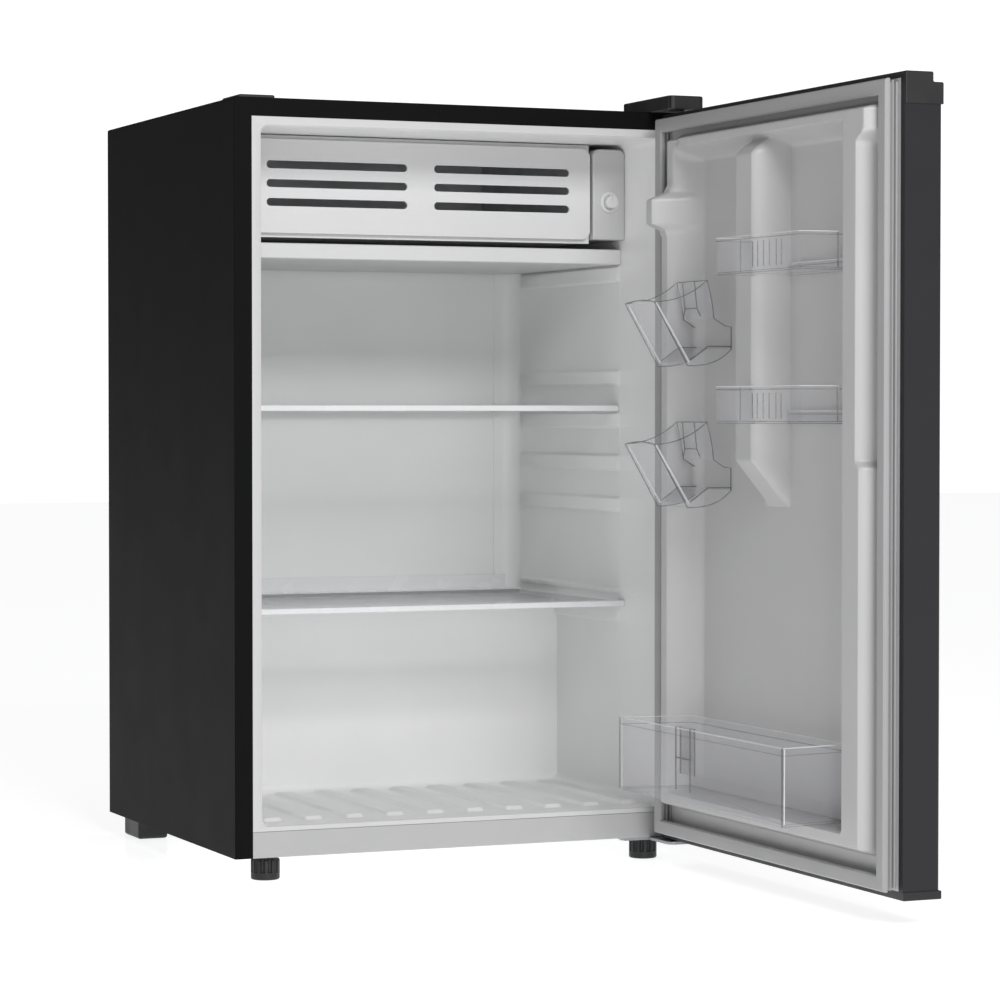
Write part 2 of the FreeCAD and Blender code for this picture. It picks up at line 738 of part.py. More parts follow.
def make_hinge_cover():
    """Hollow black cover over the top hinge."""
    body = make_body("hinge_cover", cabinet)
    near_side = cab_width - hinge_inset - hinge_width - 2
    far_side = near_side + hinge_width + 4
    front = pivot_y - hinge_nose - 2
    top = cab_height + cover_height
    pad(body, "XY", cab_height, top, rectangle(near_side, far_side, front, cover_back))
    corner = lambda at, spans: upright(spans)
    round_edges(body, hinge_nose * 0.5, corner)
    round_edges(body, cover_wall, lambda at, spans: near(at.z, top))
    inside = rectangle(
        near_side + cover_wall,
        far_side - cover_wall,
        front + cover_wall,
        cover_back - cover_wall,
    )
    pocket(body, "XY", cab_height - 1, top - cover_wall, inside)
    return body


def bottom_screw_spots():
    """Where the bottom hinge's screws go up into the base plate."""
    near_side = cab_width - hinge_inset - hinge_width - hinge_width / 2
    return [(near_side, foot_back), (near_side, foot_back * 2), (cab_width - foot_inset, foot_back * 2.2)]


def make_bottom_hinge():
    """Bottom hinge: bracket under the base, its pin and its screws."""
    bracket = make_body("bottom_hinge_bracket", cabinet)
    near_side = cab_width - hinge_inset - hinge_width
    plan = rectangle(near_side, near_side + hinge_width, pivot_y - hinge_nose, shell_wall)
    pad(bracket, "XY", -hinge_plate, 0, plan)
    wing = rectangle(near_side - hinge_width * 0.75, near_side + hinge_width, shell_wall, foot_back * 2.7)
    pad(bracket, "XY", -hinge_plate, 0, wing)
    corner = lambda at, spans: upright(spans) and near(at.y, pivot_y - hinge_nose)
    round_edges(bracket, hinge_nose * 0.6, corner)
    pocket(bracket, "XY", -hinge_plate - 1, 1, circles([(pivot_x, pivot_y)], hinge_pin))
    stud_hole = circles([(cab_width - foot_inset, foot_back)], stud_radius + screw_play * 2)
    pocket(bracket, "XY", -hinge_plate - 1, 1, stud_hole)
    pocket(bracket, "XY", -hinge_plate - 1, 1, circles(bottom_screw_spots(), screw_radius))
    rise = door_lift + bush_length - 2 + hinge_plate
    cylinder("bottom_hinge_pin", cabinet, pivot_x, pivot_y, -hinge_plate, hinge_pin, rise)
    screws = []
    for number, (x, y) in enumerate(bottom_screw_spots(), 1):
        low = -hinge_plate - head_height
        head = cylinder(f"bottom_head_{number}", cabinet, x, y, low, head_radius, head_height)
        shank = cylinder(f"bottom_shank_{number}", cabinet, x, y, low, screw_radius, -low)
        screws.append(fuse(f"bottom_screw_{number}", [head, shank]))
    group("bottom_hinge_screws", screws)


# ---------------------------------------------------------------- feet
def make_front_foot(side, middle):
    """A levelling foot: fluted knob, and the stud that it turns."""
    knob = make_body(f"{side}_front_foot", Frame(
        (cabinet.origin[0] + middle, cabinet.origin[1] + foot_back, as_size(0)), 0))
    top = foot_height - foot_gap
    pad(knob, "XY", 0, top, circles([(0, 0)], foot_radius))
    rims = lambda at, spans: spans[2] < 0.01
    round_edges(knob, foot_radius / 8, rims)
    groove = pocket(knob, "XY", top * 0.35, top + 1, circles([(foot_radius, 0)], flute_radius))
    pattern = knob.newObject("PartDesign::PolarPattern", f"{side}_flutes")
    pattern.Originals = [groove]
    pattern.Axis = ([f for f in knob.Origin.OriginFeatures if f.Role == "Z_Axis"][0], [""])
    pattern.Angle = 360
    pattern.Occurrences = flute_count
    knob.Tip = pattern
    seat = top / 2
    pocket(knob, "XY", seat, top + 1, circles([(0, 0)], stud_radius))
    base = seat - foot_height
    cylinder(f"{side}_foot_stud", cabinet, middle, foot_back, base, stud_radius, stud_height - base)


def make_foot_nuts():
    """Weld nuts on the base plate that the studs screw into."""
    nuts = []
    for number, x in enumerate(foot_middles(), 1):
        prism = doc.addObject("Part::Prism", f"nut_{number}_outside")
        prism.Polygon = 6
        prism.setExpression("Circumradius", nut_width.text)
        prism.setExpression("Height", nut_height.text)
        cabinet.put(prism, x, foot_back, base_sheet)
        nut = doc.addObject("Part::Cut", f"nut_{number}")
        nut.Base = prism
        nut.Tool = cylinder(f"nut_{number}_thread", cabinet, x, foot_back, base_sheet,
                            stud_radius + stud_play, nut_height)
        nuts.append(nut)
    group("foot_nuts", nuts)


def make_rear_feet():
    """Two fixed feet under the compressor tray."""
    blocks = []
    for side, x in (("left", rear_foot_inset),
                    ("right", cab_width - rear_foot_inset - rear_foot_width)):
        block = make_body(f"{side}_rear_foot", cabinet)
        rear = cab_depth - rear_foot_inset
        front = rear - rear_foot_depth
        pad(block, "XY", -foot_height, 0, rectangle(x, x + rear_foot_width, front, rear))
        sole = lambda at, spans: near(at.z, -foot_height) and (level(spans) or deep(spans))
        round_edges(block, rear_foot_inset / 4, sole)
        blocks.append(block)
    return blocks


# ---------------------------------------------------------------- compressor bay
def pump_corners():
    """The four bolt places around the compressor."""
    spots = []
    for x in (pump_x - pump_pitch_x / 2, pump_x + pump_pitch_x / 2):
        for y in (pump_y - pump_pitch_y / 2, pump_y + pump_pitch_y / 2):
            spots.append((x, y))
    return spots


def make_compressor_tray():
    """Tray that carries the compressor, with a folded rear rim."""
    body = make_body("compressor_tray", cabinet)
    skin = shell_wall + sheet_gap
    front = bay_front + sheet_gap
    rear = cab_depth - 2
    side_view = [
        (front, 0),
        (rear, 0),
        (rear, tray_rim),
        (rear - tray_sheet, tray_rim),
        (rear - tray_sheet, tray_sheet),
        (front, tray_sheet),
    ]
    pad(body, "YZ", skin, cab_width - skin, outline(side_view))
    pocket(body, "XY", -1, tray_sheet + 1, circles(pump_corners(), bolt_radius))
    return body


def make_compressor():
    """Hermetic pot on four ears."""
    body = make_body("compressor", cabinet)
    ears = tray_sheet + grommet_height
    reach = grommet_radius + 2
    plate = rectangle(
        pump_x - pump_pitch_x / 2 - reach,
        pump_x + pump_pitch_x / 2 + reach,
        pump_y - pump_pitch_y / 2 - reach,
        pump_y + pump_pitch_y / 2 + reach,
    )
    pad(body, "XY", ears, ears + tray_sheet, plate)
    round_edges(body, reach * 0.9, lambda at, spans: upright(spans))
    top = ears + pump_height
    pad(body, "XY", ears, top, circles([(pump_x, pump_y)], pump_radius))
    round_edges(body, pump_radius * 0.45, lambda at, spans: near(at.z, top))
    weld = ears + pump_height * 0.45
    pad(body, "XY", weld, weld + 5, circles([(pump_x, pump_y)], pump_radius + 3))
    pocket(body, "XY", ears - 1, ears + tray_sheet + 1, circles(pump_corners(), bolt_radius))
    return body


def make_compressor_mounts():
    """Rubber grommets and the bolts through them."""
    grommets = []
    bolts = []
    for number, (x, y) in enumerate(pump_corners(), 1):
        grommets.append(ring(f"grommet_{number}", cabinet, x, y, tray_sheet,
                             grommet_radius, bolt_radius, grommet_height))
        low = as_size(0)
        top = tray_sheet * 2 + grommet_height
        shank = cylinder(f"bolt_shank_{number}", cabinet, x, y, low, bolt_radius, top)
        head = cylinder(f"bolt_head_{number}", cabinet, x, y, top, bolt_radius * 2, bolt_radius)
        bolts.append(fuse(f"bolt_{number}", [shank, head]))
    group("compressor_grommets", grommets)
    group("compressor_bolts", bolts)


def make_relay_box():
    """Start relay and overload cover on the compressor's side."""
    body = make_body("relay_box", cabinet)
    near_side = pump_x + pump_radius + 3
    width = pump_radius * 0.62
    low = tray_sheet * 2 + grommet_height + 26
    plan = rectangle(near_side + 0.3, near_side + width, pump_y - width * 0.7, pump_y + width * 0.7)
    pad(body, "XY", low, low + pump_height * 0.42, plan)
    round_edges(body, width / 12, lambda at, spans: upright(spans))
    return body


def make_drain_pan():
    """Pan on the compressor's top, where melt water dries up."""
    body = make_body("drain_pan", cabinet)
    low = tray_sheet + grommet_height + pump_height + rest_gap
    half_y = pump_radius * 1.15
    half_x = half_y * 1.4
    plan = rectangle(pump_x - half_x, pump_x + half_x, pump_y - half_y, pump_y + half_y)
    pad(body, "XY", low, low + pan_height, plan)
    in_x = half_x - drip_wall
    in_y = half_y - drip_wall
    hollow = rectangle(pump_x - in_x, pump_x + in_x, pump_y - in_y, pump_y + in_y)
    pocket(body, "XY", low + drip_wall, low + pan_height + 1, hollow)
    inner = lambda at, spans: upright(spans) and near(at.x, pump_x - in_x, pump_x + in_x)
    round_edges(body, pan_height / 2 - drip_wall, inner)
    outer = lambda at, spans: upright(spans) and near(at.x, pump_x - half_x, pump_x + half_x)
    round_edges(body, pan_height / 2, outer)
    return body


def make_filter_dryer():
    """Copper filter dryer on the bay's front wall."""
    body = make_body("filter_dryer", cabinet)
    middle = pump_x - pump_radius * 2.6
    radius = pipe_radius * 2.8
    low = tray_rim * 2
    back_off = bay_front + radius * 1.6
    pad(body, "XY", low, low + radius * 10, circles([(middle, back_off)], radius))
    round_edges(body, radius * 0.7, lambda at, spans: near(at.z, low, low + radius * 10))
    pad(body, "XY", low - radius * 2, low + radius * 12, circles([(middle, back_off)], pipe_radius))
    return body


def make_pipe(label, start, middle, end):
    """A pipe of two straight runs joined by one tangent bend."""
    def spot(point):
        return FreeCAD.Vector(*[as_size(c).value for c in point])

    first, turn, last = spot(start), spot(middle), spot(end)
    inward = (first - turn).normalize()
    outward = (last - turn).normalize()
    half = inward.getAngle(outward) / 2
    reach = pipe_bend.value / math.tan(half)
    centre_way = (inward + outward).normalize()
    hub = turn + centre_way * (pipe_bend.value / math.sin(half))
    bend_in = turn + inward * reach
    bend_out = turn + outward * reach
    crown = hub - centre_way * pipe_bend.value
    route = Part.Wire([
        Part.LineSegment(first, bend_in).toShape(),
        Part.Arc(bend_in, crown, bend_out).toShape(),
        Part.LineSegment(bend_out, last).toShape(),
    ])
    section = Part.Wire(Part.Circle(first, inward, pipe_radius.value).toShape())
    pipe = doc.addObject("Part::Feature", label)
    pipe.Shape = route.makePipeShell([section], True, False)
    cabinet.put(pipe)
    return pipe


def make_pipes():
    """Suction and discharge pipes between the compressor and the bay's walls."""
    shoulder = tray_sheet * 2 + grommet_height + pump_height * 0.7
    rise = bay_height - 0.5
    gap = 0.4
    half_pan = pump_radius * 1.15
    side = pump_x - half_pan * 1.4 - pipe_radius * 3
    make_pipe(
        "suction_pipe",
        (pump_x - pump_radius - gap, pump_y, shoulder),
        (side, pump_y, shoulder),
        (side, pump_y, rise),
    )
    low = tray_sheet * 2 + grommet_height + pump_height * 0.3
    make_pipe(
        "discharge_pipe",
        (pump_x - pump_radius - gap, pump_y + pipe_bend, low),
        (side - pipe_bend, pump_y + pipe_bend, low),
        (side - pipe_bend, bay_front + gap, low),
    )


def make_power_inlet():
    """Gland in the bay's rear rim that a mains cord leaves by."""
    body = make_body("power_inlet", cabinet)
    x = cab_width * 0.18
    z = tray_rim + inlet_radius
    rear = cab_depth - 2
    pad(body, "XZ", rear - 6, rear, circles([(x, z)], inlet_radius))
    pad(body, "XZ", rear, rear + 2, circles([(x, z)], inlet_radius * 0.7))
    pocket(body, "XZ", rear - 7, rear + 3, circles([(x, z)], inlet_bore))
    return body


# ---------------------------------------------------------------- chiller
flap_x0 = left + flap_left
flap_x1 = right - stat_width - stat_gap
flap_z1 = ceiling - flap_top_gap
flap_axis_x = flap_x0 + flap_thick
flap_axis_y = chill_front + flap_thick / 2
frame_front = chill_front + flap_thick + flap_lean
frame_rear = frame_front + frame_depth
frame_z0 = flap_bottom - frame_reach
frame_z1 = ceiling - frame_top_gap


def make_chiller_frame():
    """White frame around the chiller's mouth, with the flap's two pivot ears."""
    body = make_body("chiller_frame", cabinet)
    face = rectangle(left + rest_gap, flap_x1 + 1, frame_z0, frame_z1)
    pad(body, "XZ", frame_front, frame_rear, face)
    mouth = rectangle(
        left + frame_rim,
        flap_x1 + 1 - frame_rim,
        flap_bottom + frame_rim * 0.5,
        flap_z1 - frame_rim * 0.5,
    )
    pocket(body, "XZ", frame_front - 1, frame_rear + 1, mouth)
    for low, high in ((frame_z0, flap_bottom - rest_gap), (flap_z1 + rest_gap, frame_z1)):
        ear = rectangle(left + rest_gap, flap_axis_x + flap_thick, chill_front, frame_front + 1)
        pad(body, "XY", low, high, ear)
    bore = circles([(flap_axis_x, flap_axis_y)], flap_pin + flap_play)
    pocket(body, "XY", frame_z0 - 1, frame_z1 + 1, bore)
    return body


def make_chiller_flap():
    """White flap with two columns of air slots and a pivot pin at each end."""
    body = make_body("chiller_flap", cabinet)
    pad(body, "XZ", chill_front, chill_front + flap_thick, rectangle(
        flap_x0, flap_x1, flap_bottom, flap_z1))
    free = lambda at, spans: deep(spans) and near(at.x, flap_x1)
    round_edges(body, flap_corner, free)

    first = flap_x0 + slot_hinge_side
    last = flap_x1 - slot_free_side
    length = (last - first - slot_bridge) / 2
    columns = ((first, first + length), (last - length, last))
    half = slot_height / 2
    for row in range(3):
        height = flap_z1 - slot_top - slot_pitch * row
        for x0, x1 in columns:
            slot = rectangle(x0, x1, height - half, height + half)
            pocket(body, "XZ", chill_front - 1, chill_front + flap_thick + 1, slot)
    ends = [x for column in columns for x in column]
    round_edges(body, half * 0.98, lambda at, spans: deep(spans) and near(at.x, *ends))
    spot = [(flap_axis_x, flap_axis_y)]
    pad(body, "XY", frame_z0 + 0.4, flap_bottom + 1, circles(spot, flap_pin))
    pad(body, "XY", flap_z1 - 1, frame_z1 - 0.4, circles(spot, flap_pin))
    return body


def make_evaporator():
    """Aluminium chiller box, open at the front."""
    body = make_body("evaporator", cabinet)
    x0 = left + chill_side_gap
    x1 = flap_x1 - chill_side_gap
    z0 = flap_bottom - chill_side_gap
    z1 = ceiling - chill_top_gap
    rear = back - chill_rear_gap
    pad(body, "XZ", frame_rear + rest_gap, rear, rectangle(x0, x1, z0, z1))
    hollow = rectangle(x0 + chill_sheet, x1 - chill_sheet, z0 + chill_sheet, z1 - chill_sheet)
    pocket(body, "XZ", frame_front, rear - chill_sheet, hollow)
    studs = []
    number = 0
    for x in (x0 + spacer_inset, x1 - spacer_inset):
        for y in (frame_rear + spacer_inset, rear - spacer_inset):
            number += 1
            studs.append(cylinder(f"spacer_{number}", cabinet, x, y, z1, spacer_radius, chill_top_gap))
    group("evaporator_spacers", studs)


def make_thermostat():
    """Thermostat: housing, ring, body, shaft and knob."""
    x0 = flap_x1 + stat_gap
    x1 = right - rest_gap
    z0 = flap_bottom
    z1 = flap_z1
    knob_x = (x0 + x1) / 2
    knob_z = z1 - knob_drop
    housing = make_body("thermostat_housing", cabinet)
    pad(housing, "XZ", stat_front, stat_front + stat_depth, rectangle(x0, x1, z0, z1))
    round_edges(housing, flap_corner * 0.8, lambda at, spans: deep(spans) and near(at.z, z1))
    rim = lambda at, spans: near(at.y, stat_front)
    round_edges(housing, stat_wall * 0.8, rim)
    hollow = rectangle(x0 + stat_wall, x1 - stat_wall, z0 + stat_wall, z1 - flap_corner)
    pocket(housing, "XZ", stat_front + stat_wall, FAR, hollow)
    pocket(housing, "XZ", stat_front - 1, stat_front + stat_wall + 1, circles(
        [(knob_x, knob_z)], shaft_radius + 0.5))

    bezel = make_body("thermostat_ring", cabinet)
    pad(bezel, "XZ", stat_front - bezel_reach, stat_front, circles([(knob_x, knob_z)], bezel_radius))
    round_edges(bezel, bezel_reach / 3, lambda at, spans: near(at.y, stat_front - bezel_reach))
    pocket(bezel, "XZ", stat_front - bezel_reach - 1, stat_front + 1, circles(
        [(knob_x, knob_z)], knob_radius + 0.4))

    knob = make_body("thermostat_knob", cabinet)
    front = stat_front - knob_reach
    pad(knob, "XZ", front, stat_front - 0.3, circles([(knob_x, knob_z)], knob_radius))
    round_edges(knob, knob_radius / 8, lambda at, spans: near(at.y, front))
    pocket(knob, "XZ", front - 1, front + 1, rectangle(
        knob_x - 0.7, knob_x + 0.7, knob_z + knob_radius * 0.2, knob_z + knob_radius * 1.2))
    pocket(knob, "XZ", front + knob_reach / 2, stat_front + 1, circles(
        [(knob_x, knob_z)], shaft_radius))

    shaft = make_body("thermostat_shaft", cabinet)
    body_front = stat_front + stat_wall + 4
    pad(shaft, "XZ", front + knob_reach / 2, body_front + 14, circles([(knob_x, knob_z)], shaft_radius))

    block = make_body("thermostat_body", cabinet)
    half = stat_width / 2 - stat_wall - 2
    pad(block, "XZ", body_front, body_front + 46, rectangle(
        knob_x - half, knob_x + half, knob_z - half, knob_z + half))
    pocket(block, "XZ", body_front - 1, body_front + 14.5, circles(
        [(knob_x, knob_z)], shaft_radius + shaft_play))


# ---------------------------------------------------------------- shelves and tray
def make_drip_tray():
    """White tray under the chiller."""
    body = make_body("drip_tray", cabinet)
    x0 = left + slide_gap
    x1 = right - slide_gap
    rear = back - shelf_rear_gap
    top = drip_base + drip_height
    pad(body, "XY", drip_base, top, rectangle(x0, x1, drip_front, rear))
    lip = lambda at, spans: level(spans) and near(at.y, drip_front)
    round_edges(body, drip_wall * 0.9, lip)
    hollow = rectangle(x0 + drip_wall, x1 - drip_wall, drip_front + drip_wall * 2, rear - drip_wall)
    pocket(body, "XY", drip_base + drip_wall, top + 1, hollow)
    corner = cavity_corner - shelf_rear_gap
    inner = lambda at, spans: upright(spans) and near(at.y, rear - drip_wall)
    round_edges(body, corner - drip_wall, inner)
    round_edges(body, corner, lambda at, spans: upright(spans) and near(at.y, rear))
    return body


def make_shelf(prefix, front, base, lip):
    """A glass shelf with a trim along its front edge and one along its back edge."""
    x0 = left + slide_gap
    x1 = right - slide_gap
    rear = back - shelf_rear_gap
    corner = cavity_corner - shelf_rear_gap
    low = base + (trim_height - glass_thick) / 2
    high = low + glass_thick
    glass = make_body(f"{prefix}_shelf_glass", cabinet)
    pane = rectangle(x0 + glass_inset, x1 - glass_inset, front + glass_inset, rear - glass_inset)
    pad(glass, "XY", low, high, pane)
    glass_corner = lambda at, spans: upright(spans) and near(at.y, rear - glass_inset)
    round_edges(glass, corner - glass_inset, glass_corner)

    front_trim = make_body(f"{prefix}_shelf_front_trim", cabinet)
    pad(front_trim, "XY", base, base + trim_height, rectangle(x0, x1, front, front + trim_depth))
    round_edges(front_trim, 1.4, lambda at, spans: level(spans) and near(at.y, front))
    pocket(front_trim, "XY", low, high, rectangle(
        x0 + glass_inset, x1 - glass_inset, front + glass_inset, front + trim_depth + 1))

    rear_trim = make_body(f"{prefix}_shelf_rear_trim", cabinet)
    start = rear - corner - glass_inset
    pad(rear_trim, "XY", base, base + trim_height, rectangle(x0, x1, start, rear))
    pocket(rear_trim, "XY", low, high, rectangle(
        x0 + glass_inset, x1 - glass_inset, start - 1, rear - glass_inset))
    round_edges(rear_trim, corner - glass_inset, glass_corner)
    round_edges(rear_trim, corner, lambda at, spans: upright(spans) and near(at.y, rear))
    if lip.value > 0:
        stop = rectangle(x0 + corner, x1 - corner, rear - glass_inset, rear)
        pad(rear_trim, "XY", base + trim_height / 2, base + lip, stop)


def make_shelves():
    """The upper and the lower shelf, each in its own height."""
    upper_base = ledge_first + ledge_pitch * 2 + ledge_height + rest_gap
    make_shelf("upper", upper_shelf_front, upper_base, as_size(0))
    make_shelf("lower", lower_shelf_front, hump_top + rest_gap, rear_lip + trim_height)


# ---------------------------------------------------------------- door
def make_door_skin():
    """Painted steel skin: front, sides and the folds onto the inner face."""
    body = make_body("door_skin", door)
    low = foot_cap
    high = door_height - cap_height
    pad(body, "XY", low, high, rectangle(0, door_width, 0, door_thick))
    inside = rectangle(skin_wall, door_width - skin_wall, skin_wall, door_thick - skin_wall)
    pocket(body, "XY", -FAR, FAR, inside)
    bend = lambda at, spans: upright(spans) and near(at.y, door_thick)
    round_edges(body, skin_corner, bend)
    inner_bend = lambda at, spans: upright(spans) and near(at.y, door_thick - skin_wall)
    round_edges(body, skin_corner - skin_wall, inner_bend)
    gap = rectangle(skin_return, door_width - skin_return, -1, skin_wall + 1)
    pocket(body, "XY", -FAR, FAR, gap)
    return body


def make_top_cap():
    """Top cap: higher at the back, stepped down at the front, with the hinge boss."""
    body = make_body("door_top_cap", door)
    low = door_height - cap_height
    front = door_thick + cap_over
    step = front - cap_step_depth
    side_view = [
        (0, low),
        (front, low),
        (front, door_height - cap_step),
        (step, door_height - cap_step),
        (step, door_height),
        (0, door_height),
    ]
    pad(body, "YZ", -cap_over, door_width + cap_over, outline(side_view))
    long_edges = lambda at, spans: level(spans) and at.z > (low + 1).value
    round_edges(body, cap_over * 1.6, long_edges)
    ends = lambda at, spans: upright(spans)
    round_edges(body, cap_over * 1.2, ends)
    hollow = rectangle(
        pivot_in + boss_radius + cap_wall,
        door_width - cap_wall,
        flange_wall + cap_wall,
        step - cap_wall,
    )
    pocket(body, "XY", low - 1, door_height - cap_wall, hollow)
    bore = circles([(pivot_in, pivot_in)], bush_radius)
    pocket(body, "XY", door_height - bush_length, door_height + 1, bore)
    seat = rectangle(skin_return, door_width - skin_return, -1, flange_wall + sheet_gap)
    pocket(body, "XY", low - 1, door_height - cap_lip, seat)
    return body


def make_bottom_cap():
    """Bottom cap with the hinge boss that stands up into the foam."""
    body = make_body("door_bottom_cap", door)
    plan = rectangle(-cap_over, door_width + cap_over, 0, door_thick + cap_over)
    pad(body, "XY", 0, foot_cap, plan)
    edges = lambda at, spans: near(at.z, 0)
    round_edges(body, cap_over * 1.2, edges)
    pad(body, "XY", foot_cap / 2, bush_length + 2, circles([(pivot_in, pivot_in)], boss_radius))
    bore = circles([(pivot_in, pivot_in)], bush_radius)
    pocket(body, "XY", -1, bush_length, bore)
    return body


def make_door_foam():
    """Foam that fills the door behind its liner."""
    body = make_body("door_foam", door)
    low = foot_cap + sheet_gap
    high = door_height - cap_height - sheet_gap
    skin = skin_wall + sheet_gap
    front = flange_wall + sheet_gap * 2
    pad(body, "XY", low, high, rectangle(skin, door_width - skin, front, door_thick - skin_wall * 2))
    sink = pocket_sink + liner_wall + sheet_gap
    well = rectangle(dam_hinge_out - 1, dam_far_out + 1, dam_foot - 1, FAR)
    pocket(body, "XZ", -1, sink, well)
    boss = circles([(pivot_in, pivot_in)], boss_radius + 1)
    pocket(body, "XY", low - 1, bush_length + 3, boss)
    bends = lambda at, spans: upright(spans) and at.y > (door_thick / 2).value and spans[2] > 500
    round_edges(body, skin_corner, bends)
    return body


def make_door_liner():
    """White door liner: flange, dams, pocket, middle ridge, hook and lugs."""
    body = make_body("door_liner", door)
    flange = rectangle(
        skin_return + sheet_gap,
        door_width - skin_return - sheet_gap,
        foot_cap + sheet_gap,
        door_height - cap_lip - sheet_gap,
    )
    pad(body, "XZ", 0, flange_wall, flange)
    block = rectangle(dam_hinge_out, dam_far_out, dam_foot, dam_top)
    pad(body, "XZ", -dam_rise, pocket_sink + liner_wall, block)
    crest = lambda at, spans: near(at.y, -dam_rise) or (
        deep(spans) and near(at.x, dam_hinge_out, dam_far_out) and at.y < 0)
    round_edges(body, dam_band / 3, crest)
    hollow = rectangle(dam_hinge_in, dam_far_in, dam_foot + dam_band, dam_top - dam_band * 0.7)
    pocket(body, "XZ", -dam_rise - 1, pocket_sink, hollow)
    brim = lambda at, spans: deep(spans) and near(at.x, dam_hinge_in, dam_far_in) and at.y < pocket_sink.value
    round_edges(body, dam_band / 3, brim)
    add_hook(body)
    add_ridge(body)
    add_lugs(body)
    return body


def add_hook(body):
    """The hinge-side dam's hook, and its lower crest above it."""
    high = hook_low + hook_length
    root = -upper_dam_rise / 2
    side_view = [
        (root, hook_low - 4),
        (-dam_rise, hook_low),
        (-hook_rise, hook_low + hook_length * 0.2),
        (-hook_rise, hook_low + hook_length * 0.68),
        (-upper_dam_rise, high),
        (root, high + 4),
    ]
    inner = dam_hinge_in - dam_band / 2
    step = rectangle(dam_hinge_out - 1, dam_hinge_in + 1, high, dam_top + 1)
    pocket(body, "XZ", -FAR, -upper_dam_rise, step)
    pad(body, "YZ", inner - dam_band / 2, dam_hinge_in, outline(side_view))


def add_ridge(body):
    """The ridge between the two columns, slanted at its lower end."""
    top = dam_top - dam_band * 0.7
    side_view = [
        (pocket_sink + liner_wall / 2, ridge_foot),
        (-ridge_rise, ridge_foot + ridge_slant),
        (-ridge_rise, top - dam_band / 4),
        (pocket_sink + liner_wall / 2, top + dam_band / 4),
    ]
    pad(body, "YZ", ridge_left, ridge_right, outline(side_view))
    crest = lambda at, spans: upright(spans) and near(at.y, -ridge_rise)
    round_edges(body, ridge_width / 7, crest)


def add_lugs(body):
    """Lugs on the dams and on the ridge that carry the bins."""
    deep_end = pocket_sink
    for base in (bin_upper, bin_upper - bin_drop):
        for x0, x1 in (
            (ridge_right - 1, ridge_right + lug_size * 2),
            (dam_far_in - bin_end - lug_size, dam_far_in + 1),
        ):
            shelf = rectangle(x0, x1, base - rest_gap - lug_size, base - rest_gap)
            pad(body, "XZ", deep_end - lug_size * 2, deep_end + 1, shelf)
    for base in (holder_upper, holder_upper - holder_drop):
        low = base + holder_step - lug_size * 0.4 - rest_gap
        x0 = dam_hinge_in + holder_edge * 2
        shelf = rectangle(x0, x0 + holder_width * 0.7, low - lug_size, low)
        pad(body, "XZ", deep_end - lug_size, deep_end + 1, shelf)
    for x0, x1 in (
        (dam_hinge_in - 1, dam_hinge_in + lug_size * 2),
        (dam_far_in - bin_end - lug_size, dam_far_in + 1),
    ):
        top = large_base - rest_gap
        shelf = rectangle(x0, x1, dam_foot + dam_band / 2, top)
        pad(body, "XZ", deep_end - lug_size * 2, deep_end + 1, shelf)


def make_door_gasket():
    """Magnetic gasket: a narrow root and a rounded face, around the door."""
    body = make_body("door_gasket", door)
    x0, x1 = gasket_centre, door_width - gasket_centre
    z0, z1 = gasket_foot, door_height - gasket_top
    reach = gasket_gap - gasket_air

    def band(width):
        half = width / 2
        outer = rectangle(x0 - half, x1 + half, z0 - half, z1 + half)
        inner = rectangle(x0 + half, x1 - half, z0 + half, z1 - half)
        return outer, inner

    outer, inner = band(gasket_width)
    pad(body, "XZ", -reach, -reach * 0.35, outer)
    pocket(body, "XZ", -reach - 1, 0, inner)
    faces = lambda at, spans: near(at.y, -reach, -reach * 0.35) and not deep(spans)
    round_edges(body, reach * 0.22, faces)
    outer, inner = band(gasket_width * 0.6)

    def root(sketch):
        outer(sketch)
        inner(sketch)

    pad(body, "XZ", -reach * 0.45, -sheet_gap / 2, root)
    return body


def make_door_bushes():
    """Plastic bushes that the two hinge pins turn in."""
    top = door_height - bush_length
    bore = hinge_pin + hinge_play
    upper = ring("upper_bush", door, pivot_in, pivot_in, top, bush_radius, bore, bush_length)
    lower = ring("lower_bush", door, pivot_in, pivot_in, 0, bush_radius, bore, bush_length)
    group("door_bushes", [upper, lower])


# ---------------------------------------------------------------- door bins
def make_bin(label, x0, x1, reach, base, height, slant):
    """A clear open bin; its first end may narrow towards the door."""
    body = make_body(label, door)
    rear = pocket_sink - bin_air
    bend = -ridge_rise + bin_air * 2
    plan = [(x0, -reach), (x1, -reach), (x1, rear), (x0 + slant, rear), (x0 + slant, bend), (x0, bend - slant)]
    if slant.value == 0:
        plan = plan[:4]
    pad(body, "XY", base, base + height, outline(plan))
    fronts = lambda at, spans: upright(spans) and near(at.y, -reach)
    round_edges(body, bin_wall * 3, fronts)
    wall = bin_wall
    hollow = [
        (x0 + wall, wall - reach),
        (x1 - wall, wall - reach),
        (x1 - wall, rear - wall),
        (x0 + slant + wall, rear - wall),
        (x0 + slant + wall, bend - wall * 0.4),
        (x0 + wall, bend - slant - wall * 0.4),
    ]
    if slant.value == 0:
        hollow = hollow[:4]
    pocket(body, "XY", base + wall, base + height + 1, outline(hollow))
    inner = lambda at, spans: upright(spans) and near(at.y, wall - reach)
    round_edges(body, bin_wall * 2, inner)
    return body


def make_bins():
    """Two small bins between the ridge and the latch side, and the wide bottom bin."""
    none = as_size(0)
    end = dam_far_in - bin_end
    start = ridge_right + 2
    narrow = as_size(11)
    make_bin("upper_bin", start, end, bin_reach, bin_upper, bin_height, narrow)
    make_bin("lower_bin", start, end, bin_reach, bin_upper - bin_drop, bin_height, narrow)
    start = dam_hinge_in + holder_edge / 2
    make_bin("bottom_bin", start, end, large_reach, large_base, large_height, none)


